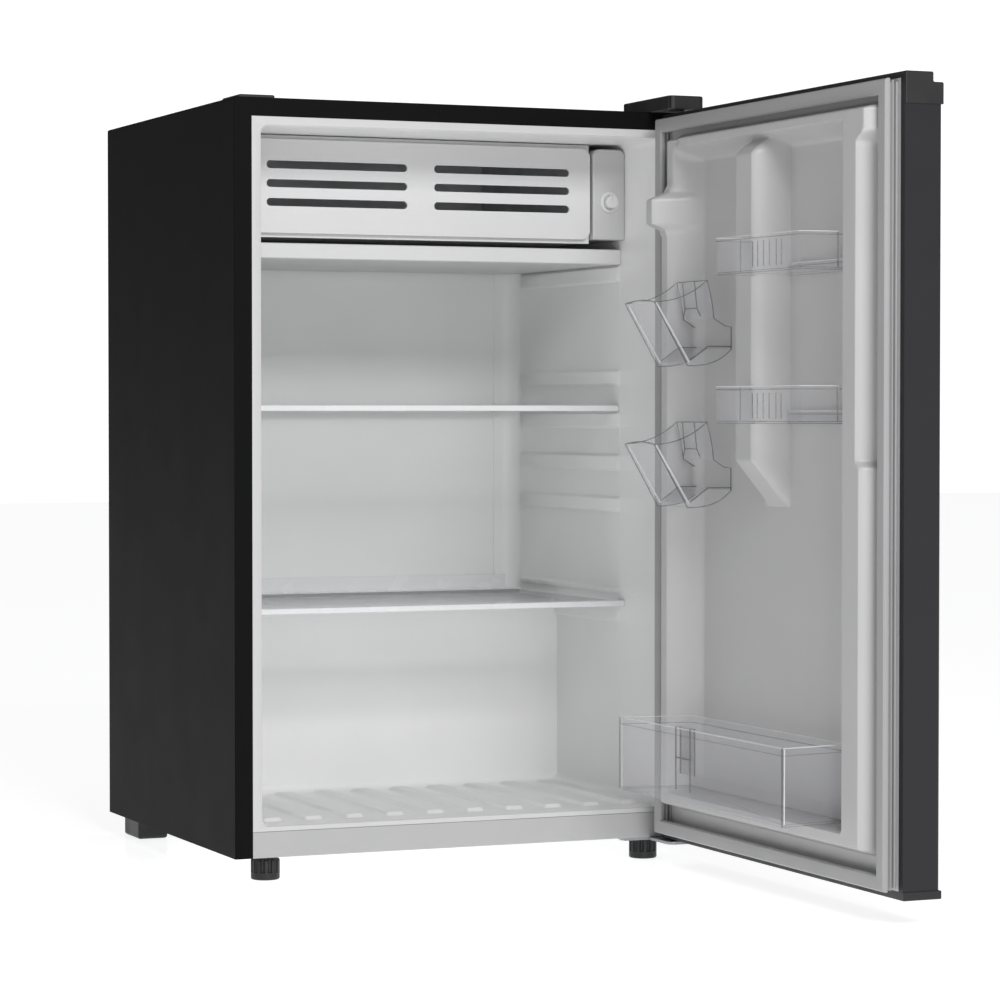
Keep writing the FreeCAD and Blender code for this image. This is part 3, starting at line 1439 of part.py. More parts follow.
def make_can_holder(label, base):
    """A clear tilted cup for a can: sloping lip, floor and back."""
    body = make_body(label, door)
    x0 = dam_hinge_in + holder_edge
    x1 = x0 + holder_width
    rear = pocket_sink - bin_air
    toe = -(holder_reach * 0.52)
    lip = -holder_reach
    top = -upper_dam_rise
    neck = -(upper_dam_rise * 0.64)
    shoulder = base + holder_step + holder_step * 2.5
    side_view = [
        (toe, base),
        (rear, base + holder_step),
        (rear, base + holder_step * 3),
        (neck, shoulder),
        (top, base + holder_back),
        (lip, base + holder_front),
    ]
    pad(body, "YZ", x0, x1, outline(side_view))
    under = lambda at, spans: level(spans) and near(at.z, base)
    round_edges(body, bin_wall * 3, under)
    wall = bin_wall
    hollow = [
        (toe + wall * 0.6, base + wall * 1.4),
        (rear - wall, base + holder_step + wall),
        (rear - wall, base + holder_step * 3 - wall * 1.5),
        (neck - wall, shoulder - wall * 0.5),
        (top - wall, base + holder_back + 1),
        (top - wall, base + holder_back + FAR / 20),
        (lip + wall, base + holder_front + FAR / 20),
        (lip + wall * 1.2, base + holder_front),
    ]
    pocket(body, "YZ", x0 + wall, x1 - wall, outline(hollow))
    fronts = lambda at, spans: abs(at.y - (toe + lip).value / 2) < 3 and near(at.x, x0, x1)
    round_edges(body, wall * 1.5, fronts)
    return body


def make_can_holders():
    """Two can holders, one above the other."""
    make_can_holder("upper_can_holder", holder_upper)
    make_can_holder("lower_can_holder", holder_upper - holder_drop)


# ---------------------------------------------------------------- the whole
NODES = [
    "outer_shell", "inner_liner", "insulation_foam", "back_panel", "base_plate", "kick_plate",
    "corner_cap", "top_hinge_plate", "top_hinge_pin", "top_hinge_screws", "hinge_cover",
    "bottom_hinge_bracket", "bottom_hinge_pin", "bottom_hinge_screws", "left_front_foot",
    "left_foot_stud", "right_front_foot", "right_foot_stud", "foot_nuts", "left_rear_foot",
    "right_rear_foot", "compressor_tray", "compressor", "compressor_grommets",
    "compressor_bolts", "relay_box", "drain_pan", "filter_dryer", "suction_pipe",
    "discharge_pipe", "power_inlet", "chiller_frame", "chiller_flap", "evaporator",
    "evaporator_spacers", "thermostat_housing", "thermostat_ring", "thermostat_knob",
    "thermostat_shaft", "thermostat_body", "drip_tray", "upper_shelf_glass",
    "upper_shelf_front_trim", "upper_shelf_rear_trim", "lower_shelf_glass",
    "lower_shelf_front_trim", "lower_shelf_rear_trim", "door_skin", "door_top_cap",
    "door_bottom_cap", "door_foam", "door_liner", "door_gasket", "door_bushes", "upper_bin",
    "lower_bin", "bottom_bin", "upper_can_holder", "lower_can_holder",
]


def build():
    """Make every sub-part."""
    make_outer_shell()
    make_inner_liner()
    make_foam()
    make_back_panel()
    make_base_plate()
    make_kick_plate()
    make_corner_cap()
    make_top_hinge()
    make_hinge_cover()
    make_bottom_hinge()
    for side, middle in zip(("left", "right"), foot_middles()):
        make_front_foot(side, middle)
    make_foot_nuts()
    make_rear_feet()
    make_compressor_tray()
    make_compressor()
    make_compressor_mounts()
    make_relay_box()
    make_drain_pan()
    make_filter_dryer()
    make_pipes()
    make_power_inlet()
    make_chiller_frame()
    make_chiller_flap()
    make_evaporator()
    make_thermostat()
    make_drip_tray()
    make_shelves()
    make_door_skin()
    make_top_cap()
    make_bottom_cap()
    make_door_foam()
    make_door_liner()
    make_door_gasket()
    make_door_bushes()
    make_bins()
    make_can_holders()
    doc.recompute()


def check():
    """Every object computed, and every node a valid shape with volume."""
    failed = [o.Label for o in doc.Objects if "Invalid" in o.State or "Error" in o.State]
    if failed:
        raise ValueError(f"not computed: {failed}")
    for name in NODES:
        shape = doc.getObjectsByLabel(name)[0].Shape
        if shape.isNull() or not shape.isValid() or shape.Volume <= 0:
            raise ValueError(f"{name}: its shape is empty or not valid")


def write():
    """One file for each node."""
    for name in NODES:
        doc.getObjectsByLabel(name)[0].Shape.exportStep(f"parts/{name}.step")


build()
check()
write()
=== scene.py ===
import json
import math

import bpy
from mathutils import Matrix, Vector


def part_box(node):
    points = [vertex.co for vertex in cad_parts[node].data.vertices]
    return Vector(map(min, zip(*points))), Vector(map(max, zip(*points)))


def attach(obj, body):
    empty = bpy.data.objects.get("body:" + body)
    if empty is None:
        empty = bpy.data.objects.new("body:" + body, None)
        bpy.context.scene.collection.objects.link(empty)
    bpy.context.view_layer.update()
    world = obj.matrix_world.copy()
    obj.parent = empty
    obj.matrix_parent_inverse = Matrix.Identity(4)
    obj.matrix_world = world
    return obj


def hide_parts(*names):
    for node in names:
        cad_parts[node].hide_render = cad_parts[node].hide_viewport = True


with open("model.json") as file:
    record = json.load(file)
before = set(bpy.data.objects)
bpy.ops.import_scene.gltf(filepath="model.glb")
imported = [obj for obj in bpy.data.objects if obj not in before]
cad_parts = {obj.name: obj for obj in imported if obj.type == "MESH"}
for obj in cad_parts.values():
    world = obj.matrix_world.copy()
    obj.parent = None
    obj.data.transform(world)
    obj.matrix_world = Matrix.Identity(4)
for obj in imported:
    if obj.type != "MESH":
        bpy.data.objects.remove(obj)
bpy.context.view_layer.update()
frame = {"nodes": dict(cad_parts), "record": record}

bl_info = {
    "name": "Mini Fridge",
    "version": (1, 0, 0),
    "blender": (4, 5, 0),
    "location": "View3D > Sidebar > Mini Fridge",
    "description": "Looks of a compact one-door fridge, built around its fixed frame",
    "category": "Object",
}

NODES = frame["nodes"]
MM = 0.001
SMOOTH_ANGLE = math.radians(32)


# ---------------------------------------------------------------- places on the frame
CABINET_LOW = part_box("outer_shell")[0]
DOOR_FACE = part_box("door_skin")[0].x
DOOR_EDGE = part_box("door_skin")[1].y
DOOR_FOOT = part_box("door_bottom_cap")[0].z


def on_door(across, out, up):
    """A place on the door: mm from the hinge edge, out of its inner face, and up."""
    return Vector((DOOR_FACE + out * MM, DOOR_EDGE - across * MM, DOOR_FOOT + up * MM))


def in_cabinet(right, deep, up):
    """A place in the cabinet: mm from its left side, behind its front face, above its underside."""
    return CABINET_LOW + Vector((right, deep, up)) * MM


def door_span(node):
    """A door node's lowest and highest (across, out, up), in mm."""
    low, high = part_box(node)
    return (
        ((DOOR_EDGE - high.y) / MM, (low.x - DOOR_FACE) / MM, (low.z - DOOR_FOOT) / MM),
        ((DOOR_EDGE - low.y) / MM, (high.x - DOOR_FACE) / MM, (high.z - DOOR_FOOT) / MM),
    )


def cabinet_span(node):
    """A cabinet node's lowest and highest (right, deep, up), in mm."""
    low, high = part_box(node)
    return tuple((low - CABINET_LOW) / MM), tuple((high - CABINET_LOW) / MM)


# ---------------------------------------------------------------- settings
def length(name, description, default):
    """A size in millimetres."""
    return bpy.props.FloatProperty(name=name, description=description, default=default)


def colour(name, description, default):
    """A linear colour."""
    return bpy.props.FloatVectorProperty(
        name=name, description=description, default=default, subtype="COLOR", size=3, min=0, max=1)


class FridgeColours(bpy.types.PropertyGroup):
    """Colours of the finishes."""

    cabinet_paint: colour("Cabinet paint", "Stoved paint on the wrap", (0.0055, 0.0055, 0.0058))
    door_paint: colour("Door paint", "Stoved paint on the door", (0.022, 0.022, 0.025))
    liner: colour("Liner", "Cabinet's formed liner", (0.87, 0.87, 0.87))
    # Door liner: painted shade, the same white formed sheet as the cabinet liner given a grey tone for the
    # shade on the door's inner face.
    door_liner: colour("Door liner", "Door's formed liner", (0.50, 0.50, 0.50))
    white_plastic: colour("White plastic", "Flap and tray", (0.64, 0.64, 0.645))
    black_plastic: colour("Black plastic", "Caps, cover and feet", (0.012, 0.012, 0.013))
    gasket: colour("Gasket", "Gasket vinyl", (0.36, 0.36, 0.365))
    clear: colour("Clear plastic", "Tint of the bins", (0.60, 0.60, 0.64))
    # Clear edges: painted shade, a dark tone on the bins' rims, ribs and rounded edges standing in for the
    # darkening that refraction gives on clear plastic.
    clear_painted_dark_edge: colour("Clear edges", "Bins' rims and edges", (0.16, 0.16, 0.17))


class FridgeSizes(bpy.types.PropertyGroup):
    """Sizes of what is shaped here, in millimetres."""

    liner_sheet: length("Liner sheet", "Thickness of the formed sheets", 1.4)
    dam_rise: length("Dam rise", "Dams' crest over the door's inner face", 24.0)
    pocket_sink: length("Pocket sink", "Pocket floor below the door's inner face", 9.5)
    ridge_rise: length("Ridge rise", "Middle ridge over the door's inner face", 30.0)
    ledge_reach: length("Ledge reach", "Cabinet ledges' reach from the side wall", 3.6)
    rib_rise: length("Rib rise", "Floor ribs' height", 3.6)
    mouth_corner: length("Mouth corner", "Cavity's corner radius at the mouth", 9.0)
    bin_wall: length("Bin wall", "Clear plastic wall", 2.0)
    rim_band: length("Rim band", "Height of the thicker band under a bin's rim", 4.0)
    rim_proud: length("Rim proud", "How far a bin's rim stands out", 0.9)
    bead: length("Bead", "Radius of the rounded edges on clear parts", 0.55)


class FridgeStage(bpy.types.PropertyGroup):
    """Camera and light."""

    camera_place: bpy.props.FloatVectorProperty(
        name="Camera place", description="Camera's place", default=(-1.3590, -3.2308, 0.4851),
        subtype="TRANSLATION", unit="LENGTH", size=3)
    camera_tilt: bpy.props.FloatProperty(
        name="Camera tilt", description="Below level", default=math.radians(1.523), subtype="ANGLE")
    camera_turn: bpy.props.FloatProperty(
        name="Camera turn", description="To the right of straight on", default=math.radians(23.113),
        subtype="ANGLE")
    camera_lens: bpy.props.FloatProperty(name="Lens", description="Focal length, mm", default=121.33)
    key_power: bpy.props.FloatProperty(name="Key light", description="Power, W", default=62.0)
    low_power: bpy.props.FloatProperty(name="Low light", description="Power, W", default=8.0)
    ambient: bpy.props.FloatProperty(name="Ambient", description="Strength around the object", default=0.27)
    mirrored: bpy.props.FloatProperty(name="Mirrored", description="What gloss reflects", default=0.16)


# ---------------------------------------------------------------- material helpers
def blank_material(name):
    """A new node material and its principled shader."""
    material = bpy.data.materials.new(name)
    material.use_nodes = True
    return material, material.node_tree.nodes["Principled BSDF"]


def place_texture(material, kind, **settings):
    """A procedural texture in the piece's own metres."""
    tree = material.node_tree
    texture = tree.nodes.new(kind)
    for socket, value in settings.items():
        texture.inputs[socket.replace("_", " ")].default_value = value
    place = tree.nodes.new("ShaderNodeTexCoord")
    tree.links.new(place.outputs["Object"], texture.inputs["Vector"])
    return texture


def mottle(material, shader, tone, shade, scale):
    """Colour that drifts between two close tones."""
    tree = material.node_tree
    texture = place_texture(material, "ShaderNodeTexNoise", Scale=scale, Detail=3.0)
    ramp = tree.nodes.new("ShaderNodeValToRGB")
    ramp.color_ramp.elements[0].position = 0.35
    ramp.color_ramp.elements[1].position = 0.65
    ramp.color_ramp.elements[0].color = (*[c * shade for c in tone], 1)
    ramp.color_ramp.elements[1].color = (*tone, 1)
    tree.links.new(texture.outputs["Fac"], ramp.inputs["Fac"])
    tree.links.new(ramp.outputs["Color"], shader.inputs["Base Color"])


def uneven_gloss(material, shader, smooth, rough, scale):
    """Roughness that varies in soft patches."""
    tree = material.node_tree
    texture = place_texture(material, "ShaderNodeTexNoise", Scale=scale, Detail=4.0)
    spread = tree.nodes.new("ShaderNodeMapRange")
    spread.inputs["From Min"].default_value = 0.3
    spread.inputs["From Max"].default_value = 0.7
    spread.inputs["To Min"].default_value = smooth
    spread.inputs["To Max"].default_value = rough
    tree.links.new(texture.outputs["Fac"], spread.inputs["Value"])
    tree.links.new(spread.outputs["Result"], shader.inputs["Roughness"])


def grain(material, shader, scale, depth, strength):
    """Fine bumps over the surface."""
    tree = material.node_tree
    texture = place_texture(material, "ShaderNodeTexNoise", Scale=scale)
    bump = tree.nodes.new("ShaderNodeBump")
    bump.inputs["Distance"].default_value = depth
    bump.inputs["Strength"].default_value = strength
    tree.links.new(texture.outputs["Fac"], bump.inputs["Height"])
    tree.links.new(bump.outputs["Normal"], shader.inputs["Normal"])


# ---------------------------------------------------------------- finishes
def moulded_plastic(name, tone, smooth, rough, scale=700.0, depth=0.00006):
    """Moulded or formed plastic with a faint orange peel."""
    material, shader = blank_material(name)
    mottle(material, shader, tone, 0.975, 9.0)
    uneven_gloss(material, shader, smooth, rough, 30.0)
    grain(material, shader, scale, depth, 0.25)
    return material


def stoved_paint(name, tone, smooth, rough, shine):
    """Painted sheet steel with a soft orange peel."""
    material, shader = blank_material(name)
    mottle(material, shader, tone, 0.98, 6.0)
    uneven_gloss(material, shader, smooth, rough, 18.0)
    grain(material, shader, 420.0, 0.00008, 0.3)
    shader.inputs["Specular IOR Level"].default_value = shine
    return material


def bare_metal(name, tone, smooth, rough, scale=240.0, metallic=1.0):
    """Plated, rolled or drawn metal."""
    material, shader = blank_material(name)
    mottle(material, shader, tone, 0.85, 30.0)
    uneven_gloss(material, shader, smooth, rough, 60.0)
    grain(material, shader, scale, 0.00006, 0.4)
    shader.inputs["Metallic"].default_value = metallic
    return material


def see_through(name, tone, face, edge, blend=0.25):
    """Clear plastic or glass: see-through face on, denser where it turns away."""
    material, shader = blank_material(name)
    tree = material.node_tree
    mottle(material, shader, tone, 0.95, 20.0)
    uneven_gloss(material, shader, 0.05, 0.1, 40.0)
    weight = tree.nodes.new("ShaderNodeLayerWeight")
    weight.inputs["Blend"].default_value = blend
    spread = tree.nodes.new("ShaderNodeMapRange")
    spread.inputs["To Min"].default_value = face
    spread.inputs["To Max"].default_value = edge
    tree.links.new(weight.outputs["Facing"], spread.inputs["Value"])
    tree.links.new(spread.outputs["Result"], shader.inputs["Alpha"])
    return material


def make_finishes(colours):
    """Every finish, by the record's slot name, and the clear parts' painted dark edges and painted
    highlights.
    """
    return {
        "black_paint": stoved_paint("cabinet_black_paint", colours.cabinet_paint, 0.5, 0.53, 0.05),
        "door_paint": stoved_paint("door_charcoal_paint", colours.door_paint, 0.36, 0.42, 0.25),
        "white_liner": moulded_plastic("formed_white_liner", colours.liner, 0.3, 0.4),
        # painted shade: the door's white liner drawn in the grey door-liner tone
        "door_liner": moulded_plastic("formed_door_liner_painted_shade", colours.door_liner, 0.3, 0.4),
        "white_plastic": moulded_plastic("moulded_white_plastic", colours.white_plastic, 0.35, 0.45),
        "kick_white": moulded_plastic("kick_plate_white", (0.44, 0.44, 0.445), 0.4, 0.5),
        "thermostat_white": moulded_plastic("thermostat_white", (0.52, 0.52, 0.525), 0.35, 0.45),
        "foam": moulded_plastic("blown_foam", (0.72, 0.62, 0.42), 0.8, 0.95, 300.0, 0.001),
        "galvanised": bare_metal("galvanised_sheet", (0.42, 0.43, 0.44), 0.4, 0.58, 120.0),
        "steel_pin": bare_metal("ground_steel", (0.55, 0.55, 0.56), 0.18, 0.3),
        "zinc_screw": bare_metal("zinc_plate", (0.66, 0.66, 0.64), 0.2, 0.36),
        "black_plastic": moulded_plastic(
            "textured_black_plastic", colours.black_plastic, 0.42, 0.55, 900.0, 0.0001),
        "gasket_vinyl": moulded_plastic("gasket_vinyl", colours.gasket, 0.42, 0.55),
        "clear_plastic": see_through("clear_bin_plastic", colours.clear, 0.022, 0.36),
        # painted shade: dark edges of the clear parts, in place of refraction
        "clear_painted_dark_edge": see_through("clear_bin_painted_dark_edges", colours.clear_painted_dark_edge, 0.3, 0.7, 0.4),
        # painted highlight: a near-white, denser tone on rim tops and on bars beside the dark edges,
        # standing in for bright reflections on clear plastic
        "clear_painted_highlight": see_through("clear_bin_painted_highlight", (0.92, 0.92, 0.93), 0.5, 0.85, 0.4),
        # painted shade: the flange and mouth are the liner's own white sheet, drawn at 0.68 of its tone to
        # darken them where the front light falls full on them
        "flange_white": moulded_plastic("liner_flange_painted_shade", [c * 0.68 for c in colours.liner], 0.3, 0.4),
        "shelf_glass": see_through("shelf_glass", (0.46, 0.50, 0.50), 0.12, 0.5, 0.3),
        "shelf_trim": moulded_plastic("shelf_trim_plastic", (0.78, 0.79, 0.80), 0.2, 0.3),
        "aluminium": bare_metal("rolled_aluminium", (0.80, 0.81, 0.82), 0.5, 0.65, 160.0, 0.35),
        "grey_plastic": moulded_plastic("grey_moulding", (0.22, 0.22, 0.23), 0.4, 0.55),
        "compressor_paint": stoved_paint("compressor_black", (0.01, 0.01, 0.01), 0.3, 0.42, 0.5),
        "black_rubber": moulded_plastic("black_rubber", (0.018, 0.018, 0.018), 0.6, 0.75),
        "copper": bare_metal("drawn_copper", (0.72, 0.36, 0.2), 0.2, 0.35),
    }


FINISHES = {}
OWN_FINISH = {
    "kick_plate": "kick_white",
    "thermostat_housing": "thermostat_white",
}


# ---------------------------------------------------------------- mesh helpers
class Mesh:
    """Points and faces gathered for one piece, each face with its finish."""

    def __init__(self):
        self.points = []
        self.faces = []
        self.marks = []

    def add(self, points, faces, mark=0):
        start = len(self.points)
        self.points += [tuple(p) for p in points]
        self.faces += [[start + i for i in face] for face in faces]
        self.marks += [mark] * len(faces)

    def grid(self, rows, mark=0, close=False, wrap=False):
        """A sheet through equal rows; close joins each row's ends, wrap the last row to the first."""
        count = len(rows[0])
        span = count if close else count - 1
        lines = len(rows) if wrap else len(rows) - 1
        faces = []
        for row in range(lines):
            after = (row + 1) % len(rows)
            for column in range(span):
                beside = (column + 1) % count
                faces.append([
                    row * count + column,
                    row * count + beside,
                    after * count + beside,
                    after * count + column,
                ])
        self.add([p for row in rows for p in row], faces, mark)

    def slab(self, place, low, high, mark=0):
        """A box between two corners, given in a local frame."""
        (x0, y0, z0), (x1, y1, z1) = low, high
        corners = [(x, y, z) for z in (z0, z1) for x, y in ((x0, y0), (x1, y0), (x1, y1), (x0, y1))]
        faces = [[0, 3, 2, 1], [4, 5, 6, 7]]
        faces += [[n, (n + 1) % 4, (n + 1) % 4 + 4, n + 4] for n in range(4)]
        self.add([place(*c) for c in corners], faces, mark)

    def plate(self, place, profile, near_side, far_side, mark=0):
        """A profile of (out, up) points extruded across."""
        count = len(profile)
        points = [place(near_side, out, up) for out, up in profile]
        points += [place(far_side, out, up) for out, up in profile]
        faces = [list(range(count)), list(range(2 * count - 1, count - 1, -1))]
        faces += [[n, (n + 1) % count, (n + 1) % count + count, n + count] for n in range(count)]
        self.add(points, faces, mark)

    def bar(self, path, radius, mark=0, sides=6):
        """A thin round bar along a path of points in metres."""
        rows = []
        for number, point in enumerate(path):
            before = path[max(number - 1, 0)]
            after = path[min(number + 1, len(path) - 1)]
            along = (after - before).normalized()
            side = along.orthogonal().normalized()
            if rows:
                side = (last_side - along * last_side.dot(along)).normalized()
            last_side = side
            other = along.cross(side)
            ring = []
            for turn in range(sides):
                angle = 2 * math.pi * turn / sides
                ring.append(point + (side * math.cos(angle) + other * math.sin(angle)) * radius)
            rows.append(ring)
        self.grid(rows, mark, close=True)
        start = len(self.points) - sides * len(rows)
        self.faces += [
            list(range(start + sides - 1, start - 1, -1)),
            list(range(start + sides * (len(rows) - 1), start + sides * len(rows))),
        ]
        self.marks += [mark, mark]

    def piece(self, name, body, finishes, replaced):
        """The object, on its body, with its finishes."""
        mesh = bpy.data.meshes.new(name)
        mesh.from_pydata(self.points, [], self.faces)
        for finish in finishes:
            mesh.materials.append(FINISHES[finish])
        mesh.polygons.foreach_set("material_index", self.marks)
        mesh.polygons.foreach_set("use_smooth", [True] * len(self.faces))
        mesh.set_sharp_from_angle(angle=SMOOTH_ANGLE)
        mesh.update()
        thing = bpy.data.objects.new(name, mesh)
        bpy.context.scene.collection.objects.link(thing)
        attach(thing, body)
        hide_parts(*replaced)
        return thing


def spaced(*spans):
    """Numbers through (start, end, step) spans that follow each other."""
    values = []
    for start, end, step in spans:
        count = max(1, round((end - start) / step))
        values += [start + (end - start) * n / count for n in range(count)]
    return values + [spans[-1][1]]


def ease(value, start, end, lean=1.0):
    """0 to 1 as the value goes from start to end; a lean under 1 is steeper at the start."""
    share = min(max((value - start) / (end - start), 0.0), 1.0) ** lean
    return share * share * (3 - 2 * share)


def fall(value, start, end, lean=1.0):
    """1 to 0 as the value goes from start to end; a lean under 1 is steeper at the end."""
    return ease(-value, -end, -start, lean)


def along_line(value, stops):
    """The height at a value, through (value, height) stops, eased between them."""
    if value <= stops[0][0]:
        return stops[0][1]
    for (x0, y0), (x1, y1) in zip(stops, stops[1:]):
        if value <= x1:
            return y0 + (y1 - y0) * ease(value, x0, x1)
    return stops[-1][1]


def soft_min(first, second, blend):
    """The lower of two numbers, rounded where they meet."""
    share = min(max(0.5 + (second - first) / (2 * blend), 0.0), 1.0)
    return second + (first - second) * share - blend * share * (1 - share)


def rounded(corners, radii, steps=5):
    """A closed outline with its corners turned into arcs."""
    outline = []
    for number, corner in enumerate(corners):
        here = Vector(corner)
        before = (Vector(corners[number - 1]) - here).normalized()
        after = (Vector(corners[(number + 1) % len(corners)]) - here).normalized()
        half = before.angle(after) / 2
        reach = radii[number] / math.tan(half)
        middle = here + (before + after).normalized() * (radii[number] / math.sin(half))
        start = here + before * reach - middle
        end = here + after * reach - middle
        for step in range(steps + 1):
            outline.append(tuple(middle + start.slerp(end, step / steps)))
    return outline


def divided(outline, step):
    """A closed outline with no side longer than a step."""
    points = []
    for here, there in zip(outline, outline[1:] + outline[:1]):
        gap = math.dist(here, there)
        count = max(1, math.ceil(gap / step))
        for n in range(count):
            points.append(tuple(a + (b - a) * n / count for a, b in zip(here, there)))
    return points


def offset(outline, distance):
    """A closed outline moved outwards; it runs anticlockwise."""
    moved = []
    count = len(outline)
    for number in range(count):
        before = Vector(outline[number - 1])
        here = Vector(outline[number])
        after = Vector(outline[(number + 1) % count])
        first = (here - before).normalized()
        second = (after - here).normalized()
        normal = Vector((first.y + second.y, -first.x - second.x)).normalized()
        moved.append(tuple(here + normal * distance))
    return moved


# ---------------------------------------------------------------- door liner
# Dams and ridge: where the first flank starts and ends, and where the second one does, in mm
# across the door from its hinge edge or up from its foot.
HINGE_DAM = (37.0, 46.0, 60.0, 84.0)
LATCH_DAM = (428.0, 439.0, 463.0, 479.0)
FOOT_DAM = (36.0, 45.0, 56.0, 76.0)
HEAD_DAM = (720.0, 735.0, 742.0, 750.0)
RIDGE = (218.0, 230.0, 262.0, 273.0)
RIDGE_SLANT = (362.0, 409.0)
RIDGE_HEAD = (714.0, 736.0)
RIDGE_HEAD_DROP = 0.55

# The hook on the hinge dam: rise at each height, and where it fades out into the pocket.
HOOK = ((640, 24), (647, 26), (656, 42), (679, 42), (690, 21), (698, 17.5))
HOOK_FADE = (68.0, 88.0)

# The latch dam's outer flank stands further out at the head and below a step.
EAR = (710.0, 724.0)
EAR_WIDEN = 15.0
STEP = (404.0, 412.0)
STEP_WIDEN = 7.0

# How flanks lean: under 1 they are steep at the crest and soft at the foot.
POCKET_LEAN = 0.6
RIDGE_LEAN = 0.5
OUTER_LEAN = 1.4
RIDGE_BLEND = 3.0
SHEET_SHARE = 0.75

# (start, end, step) of the sheet's lines, closer where it bends, and the steps out to its edges.
LINES_ACROSS = (
    (36, 48, 1.5), (48, 58, 3), (58, 86, 1.4), (86, 216, 10), (216, 231, 1.5), (231, 260, 4),
    (260, 276, 1.0), (276, 426, 10), (426, 441, 1.2), (441, 461, 4), (461, 500, 1.4))
EDGE_STEPS_ACROSS = (4, 3)
LINES_UP = (
    (34, 80, 1.8), (80, 358, 12), (358, 416, 2), (416, 636, 9), (636, 702, 1.6), (702, 712, 2.5),
    (712, 752, 1.4))
EDGE_STEPS_UP = (5, 4)


def liner_out(across, up, sizes):
    """The door liner's surface: mm out of the door's inner face at a place."""
    widen = STEP_WIDEN * (1 - ease(up, *STEP)) + EAR_WIDEN * ease(up, *EAR)
    pocket = ease(across, *HINGE_DAM[2:], POCKET_LEAN)
    pocket *= fall(across, *LATCH_DAM[:2], POCKET_LEAN)
    pocket *= ease(up, *FOOT_DAM[2:], POCKET_LEAN)
    pocket *= fall(up, *HEAD_DAM[:2], POCKET_LEAN)
    outside = 1 - (
        ease(across, *HINGE_DAM[:2])
        * fall(across, LATCH_DAM[2] + widen, LATCH_DAM[3] + widen, OUTER_LEAN)
        * ease(up, *FOOT_DAM[:2])
        * fall(up, *HEAD_DAM[2:])
    )
    near_hinge = 1 - ease(across, *HOOK_FADE)
    rise = sizes.dam_rise + (along_line(up, HOOK) - sizes.dam_rise) * near_hinge
    bowl = -rise + pocket * (rise + sizes.pocket_sink) + outside * rise
    ridge = ease(across, *RIDGE[:2]) * fall(across, *RIDGE[2:], RIDGE_LEAN)
    ridge *= min(max((up - RIDGE_SLANT[0]) / (RIDGE_SLANT[1] - RIDGE_SLANT[0]), 0), 1)
    ridge *= 1 - RIDGE_HEAD_DROP * ease(up, *RIDGE_HEAD)
    ridge *= fall(up, RIDGE_HEAD[1], HEAD_DAM[2])
    crest = sizes.pocket_sink - ridge * (sizes.ridge_rise + sizes.pocket_sink)
    return soft_min(bowl, crest, RIDGE_BLEND) if ridge > 0 else bowl


def lines_between(low, spans, high, edge_steps):
    """Lines through spans, carried on to a low and a high edge."""
    first, last = edge_steps
    return spaced((low, spans[0][0], first), *spans, (spans[-1][1], high, last))


def build_door_liner(sizes):
    """White formed door liner: flange, dams, pocket, ridge and hook."""
    low, high = door_span("door_liner")
    across = lines_between(low[0], LINES_ACROSS, high[0], EDGE_STEPS_ACROSS)
    up = lines_between(low[2], LINES_UP, high[2], EDGE_STEPS_UP)
    face = [[liner_out(a, u, sizes) for a in across] for u in up]
    sheet = sizes.liner_sheet * SHEET_SHARE
    shown = [[on_door(a, out, u) for a, out in zip(across, row)] for u, row in zip(up, face)]
    hidden = [[on_door(a, out + sheet, u) for a, out in zip(across, row)] for u, row in zip(up, face)]
    mesh = Mesh()
    mesh.grid(shown)
    mesh.grid([row[::-1] for row in hidden])
    mesh.grid([hidden[0], shown[0]])
    mesh.grid([hidden[-1][::-1], shown[-1][::-1]])
    first, last = ([[row[column] for row in side] for side in (shown, hidden)] for column in (0, -1))
    mesh.grid(first)
    mesh.grid(last[::-1])
    return mesh.piece("door_liner_sheet", "door", ["door_liner"], ["door_liner"])


# ---------------------------------------------------------------- gasket
GASKET_HALF = 7.5

# Half of the bellows' profile, as shares of its half width and of its reach.
GASKET_SIDE = (
    (0.62, 0.01), (0.62, 0.14), (0.30, 0.20), (0.30, 0.26), (0.78, 0.34), (0.82, 0.42), (0.5, 0.5),
    (0.5, 0.56), (0.95, 0.64), (1.0, 0.74), (0.98, 0.86), (0.8, 0.97), (0.45, 1.0))


def build_gasket():
    """Bellows gasket with mitred corners."""
    low, high = door_span("door_gasket")
    side = [(GASKET_HALF * wide, low[1] * deep) for wide, deep in GASKET_SIDE]
    profile = side + [(-wide, out) for wide, out in side[::-1]]
    corners = (
        (low[0], low[2], 1, 1),
        (high[0], low[2], -1, 1),
        (high[0], high[2], -1, -1),
        (low[0], high[2], 1, -1),
    )
    rows = []
    for across, up, to_right, to_top in corners:
        rows.append([
            on_door(across + to_right * (GASKET_HALF - wide), out, up + to_top * (GASKET_HALF - wide))
            for wide, out in profile
        ])
    mesh = Mesh()
    mesh.grid(rows, close=True, wrap=True)
    return mesh.piece("door_gasket_bellows", "door", ["gasket_vinyl"], ["door_gasket"])


# ---------------------------------------------------------------- cabinet liner
# Gaps and thicknesses from the nodes around the cavity, in mm.
SLIDE_GAP = 0.6
REST_GAP = 0.3
LINER_WALL = 1.6
FLOOR_OVER_KICK = 6
CEILING_GAP = 5.4

# Bands along the side walls.
LEDGE_HEIGHT = 19
LEDGE_PITCH = 47
LEDGE_ROUND = 3
GLASS_BAND = (11, 20)

# Floor ribs: how many, and where a rib's flanks start and end in its pitch.
FLOOR_LINES = 200
FLOOR_RIBS = 10
RIB_FLANKS = (0.24, 0.32, 0.68, 0.76)

# Depths behind the front face: (depth, inset) of the flared mouth, then where things start.
MOUTH = ((0.0, -2.6), (0.9, -0.8), (3.2, 0))
RIB_START = (32, 36)
LEDGE_START = (104, 108, 112)
STEP_FRONT = 278.0

# Distances in front of the step or of the back wall where things end.
RIB_END = (20, 14)
LEDGE_END = (26, 20)

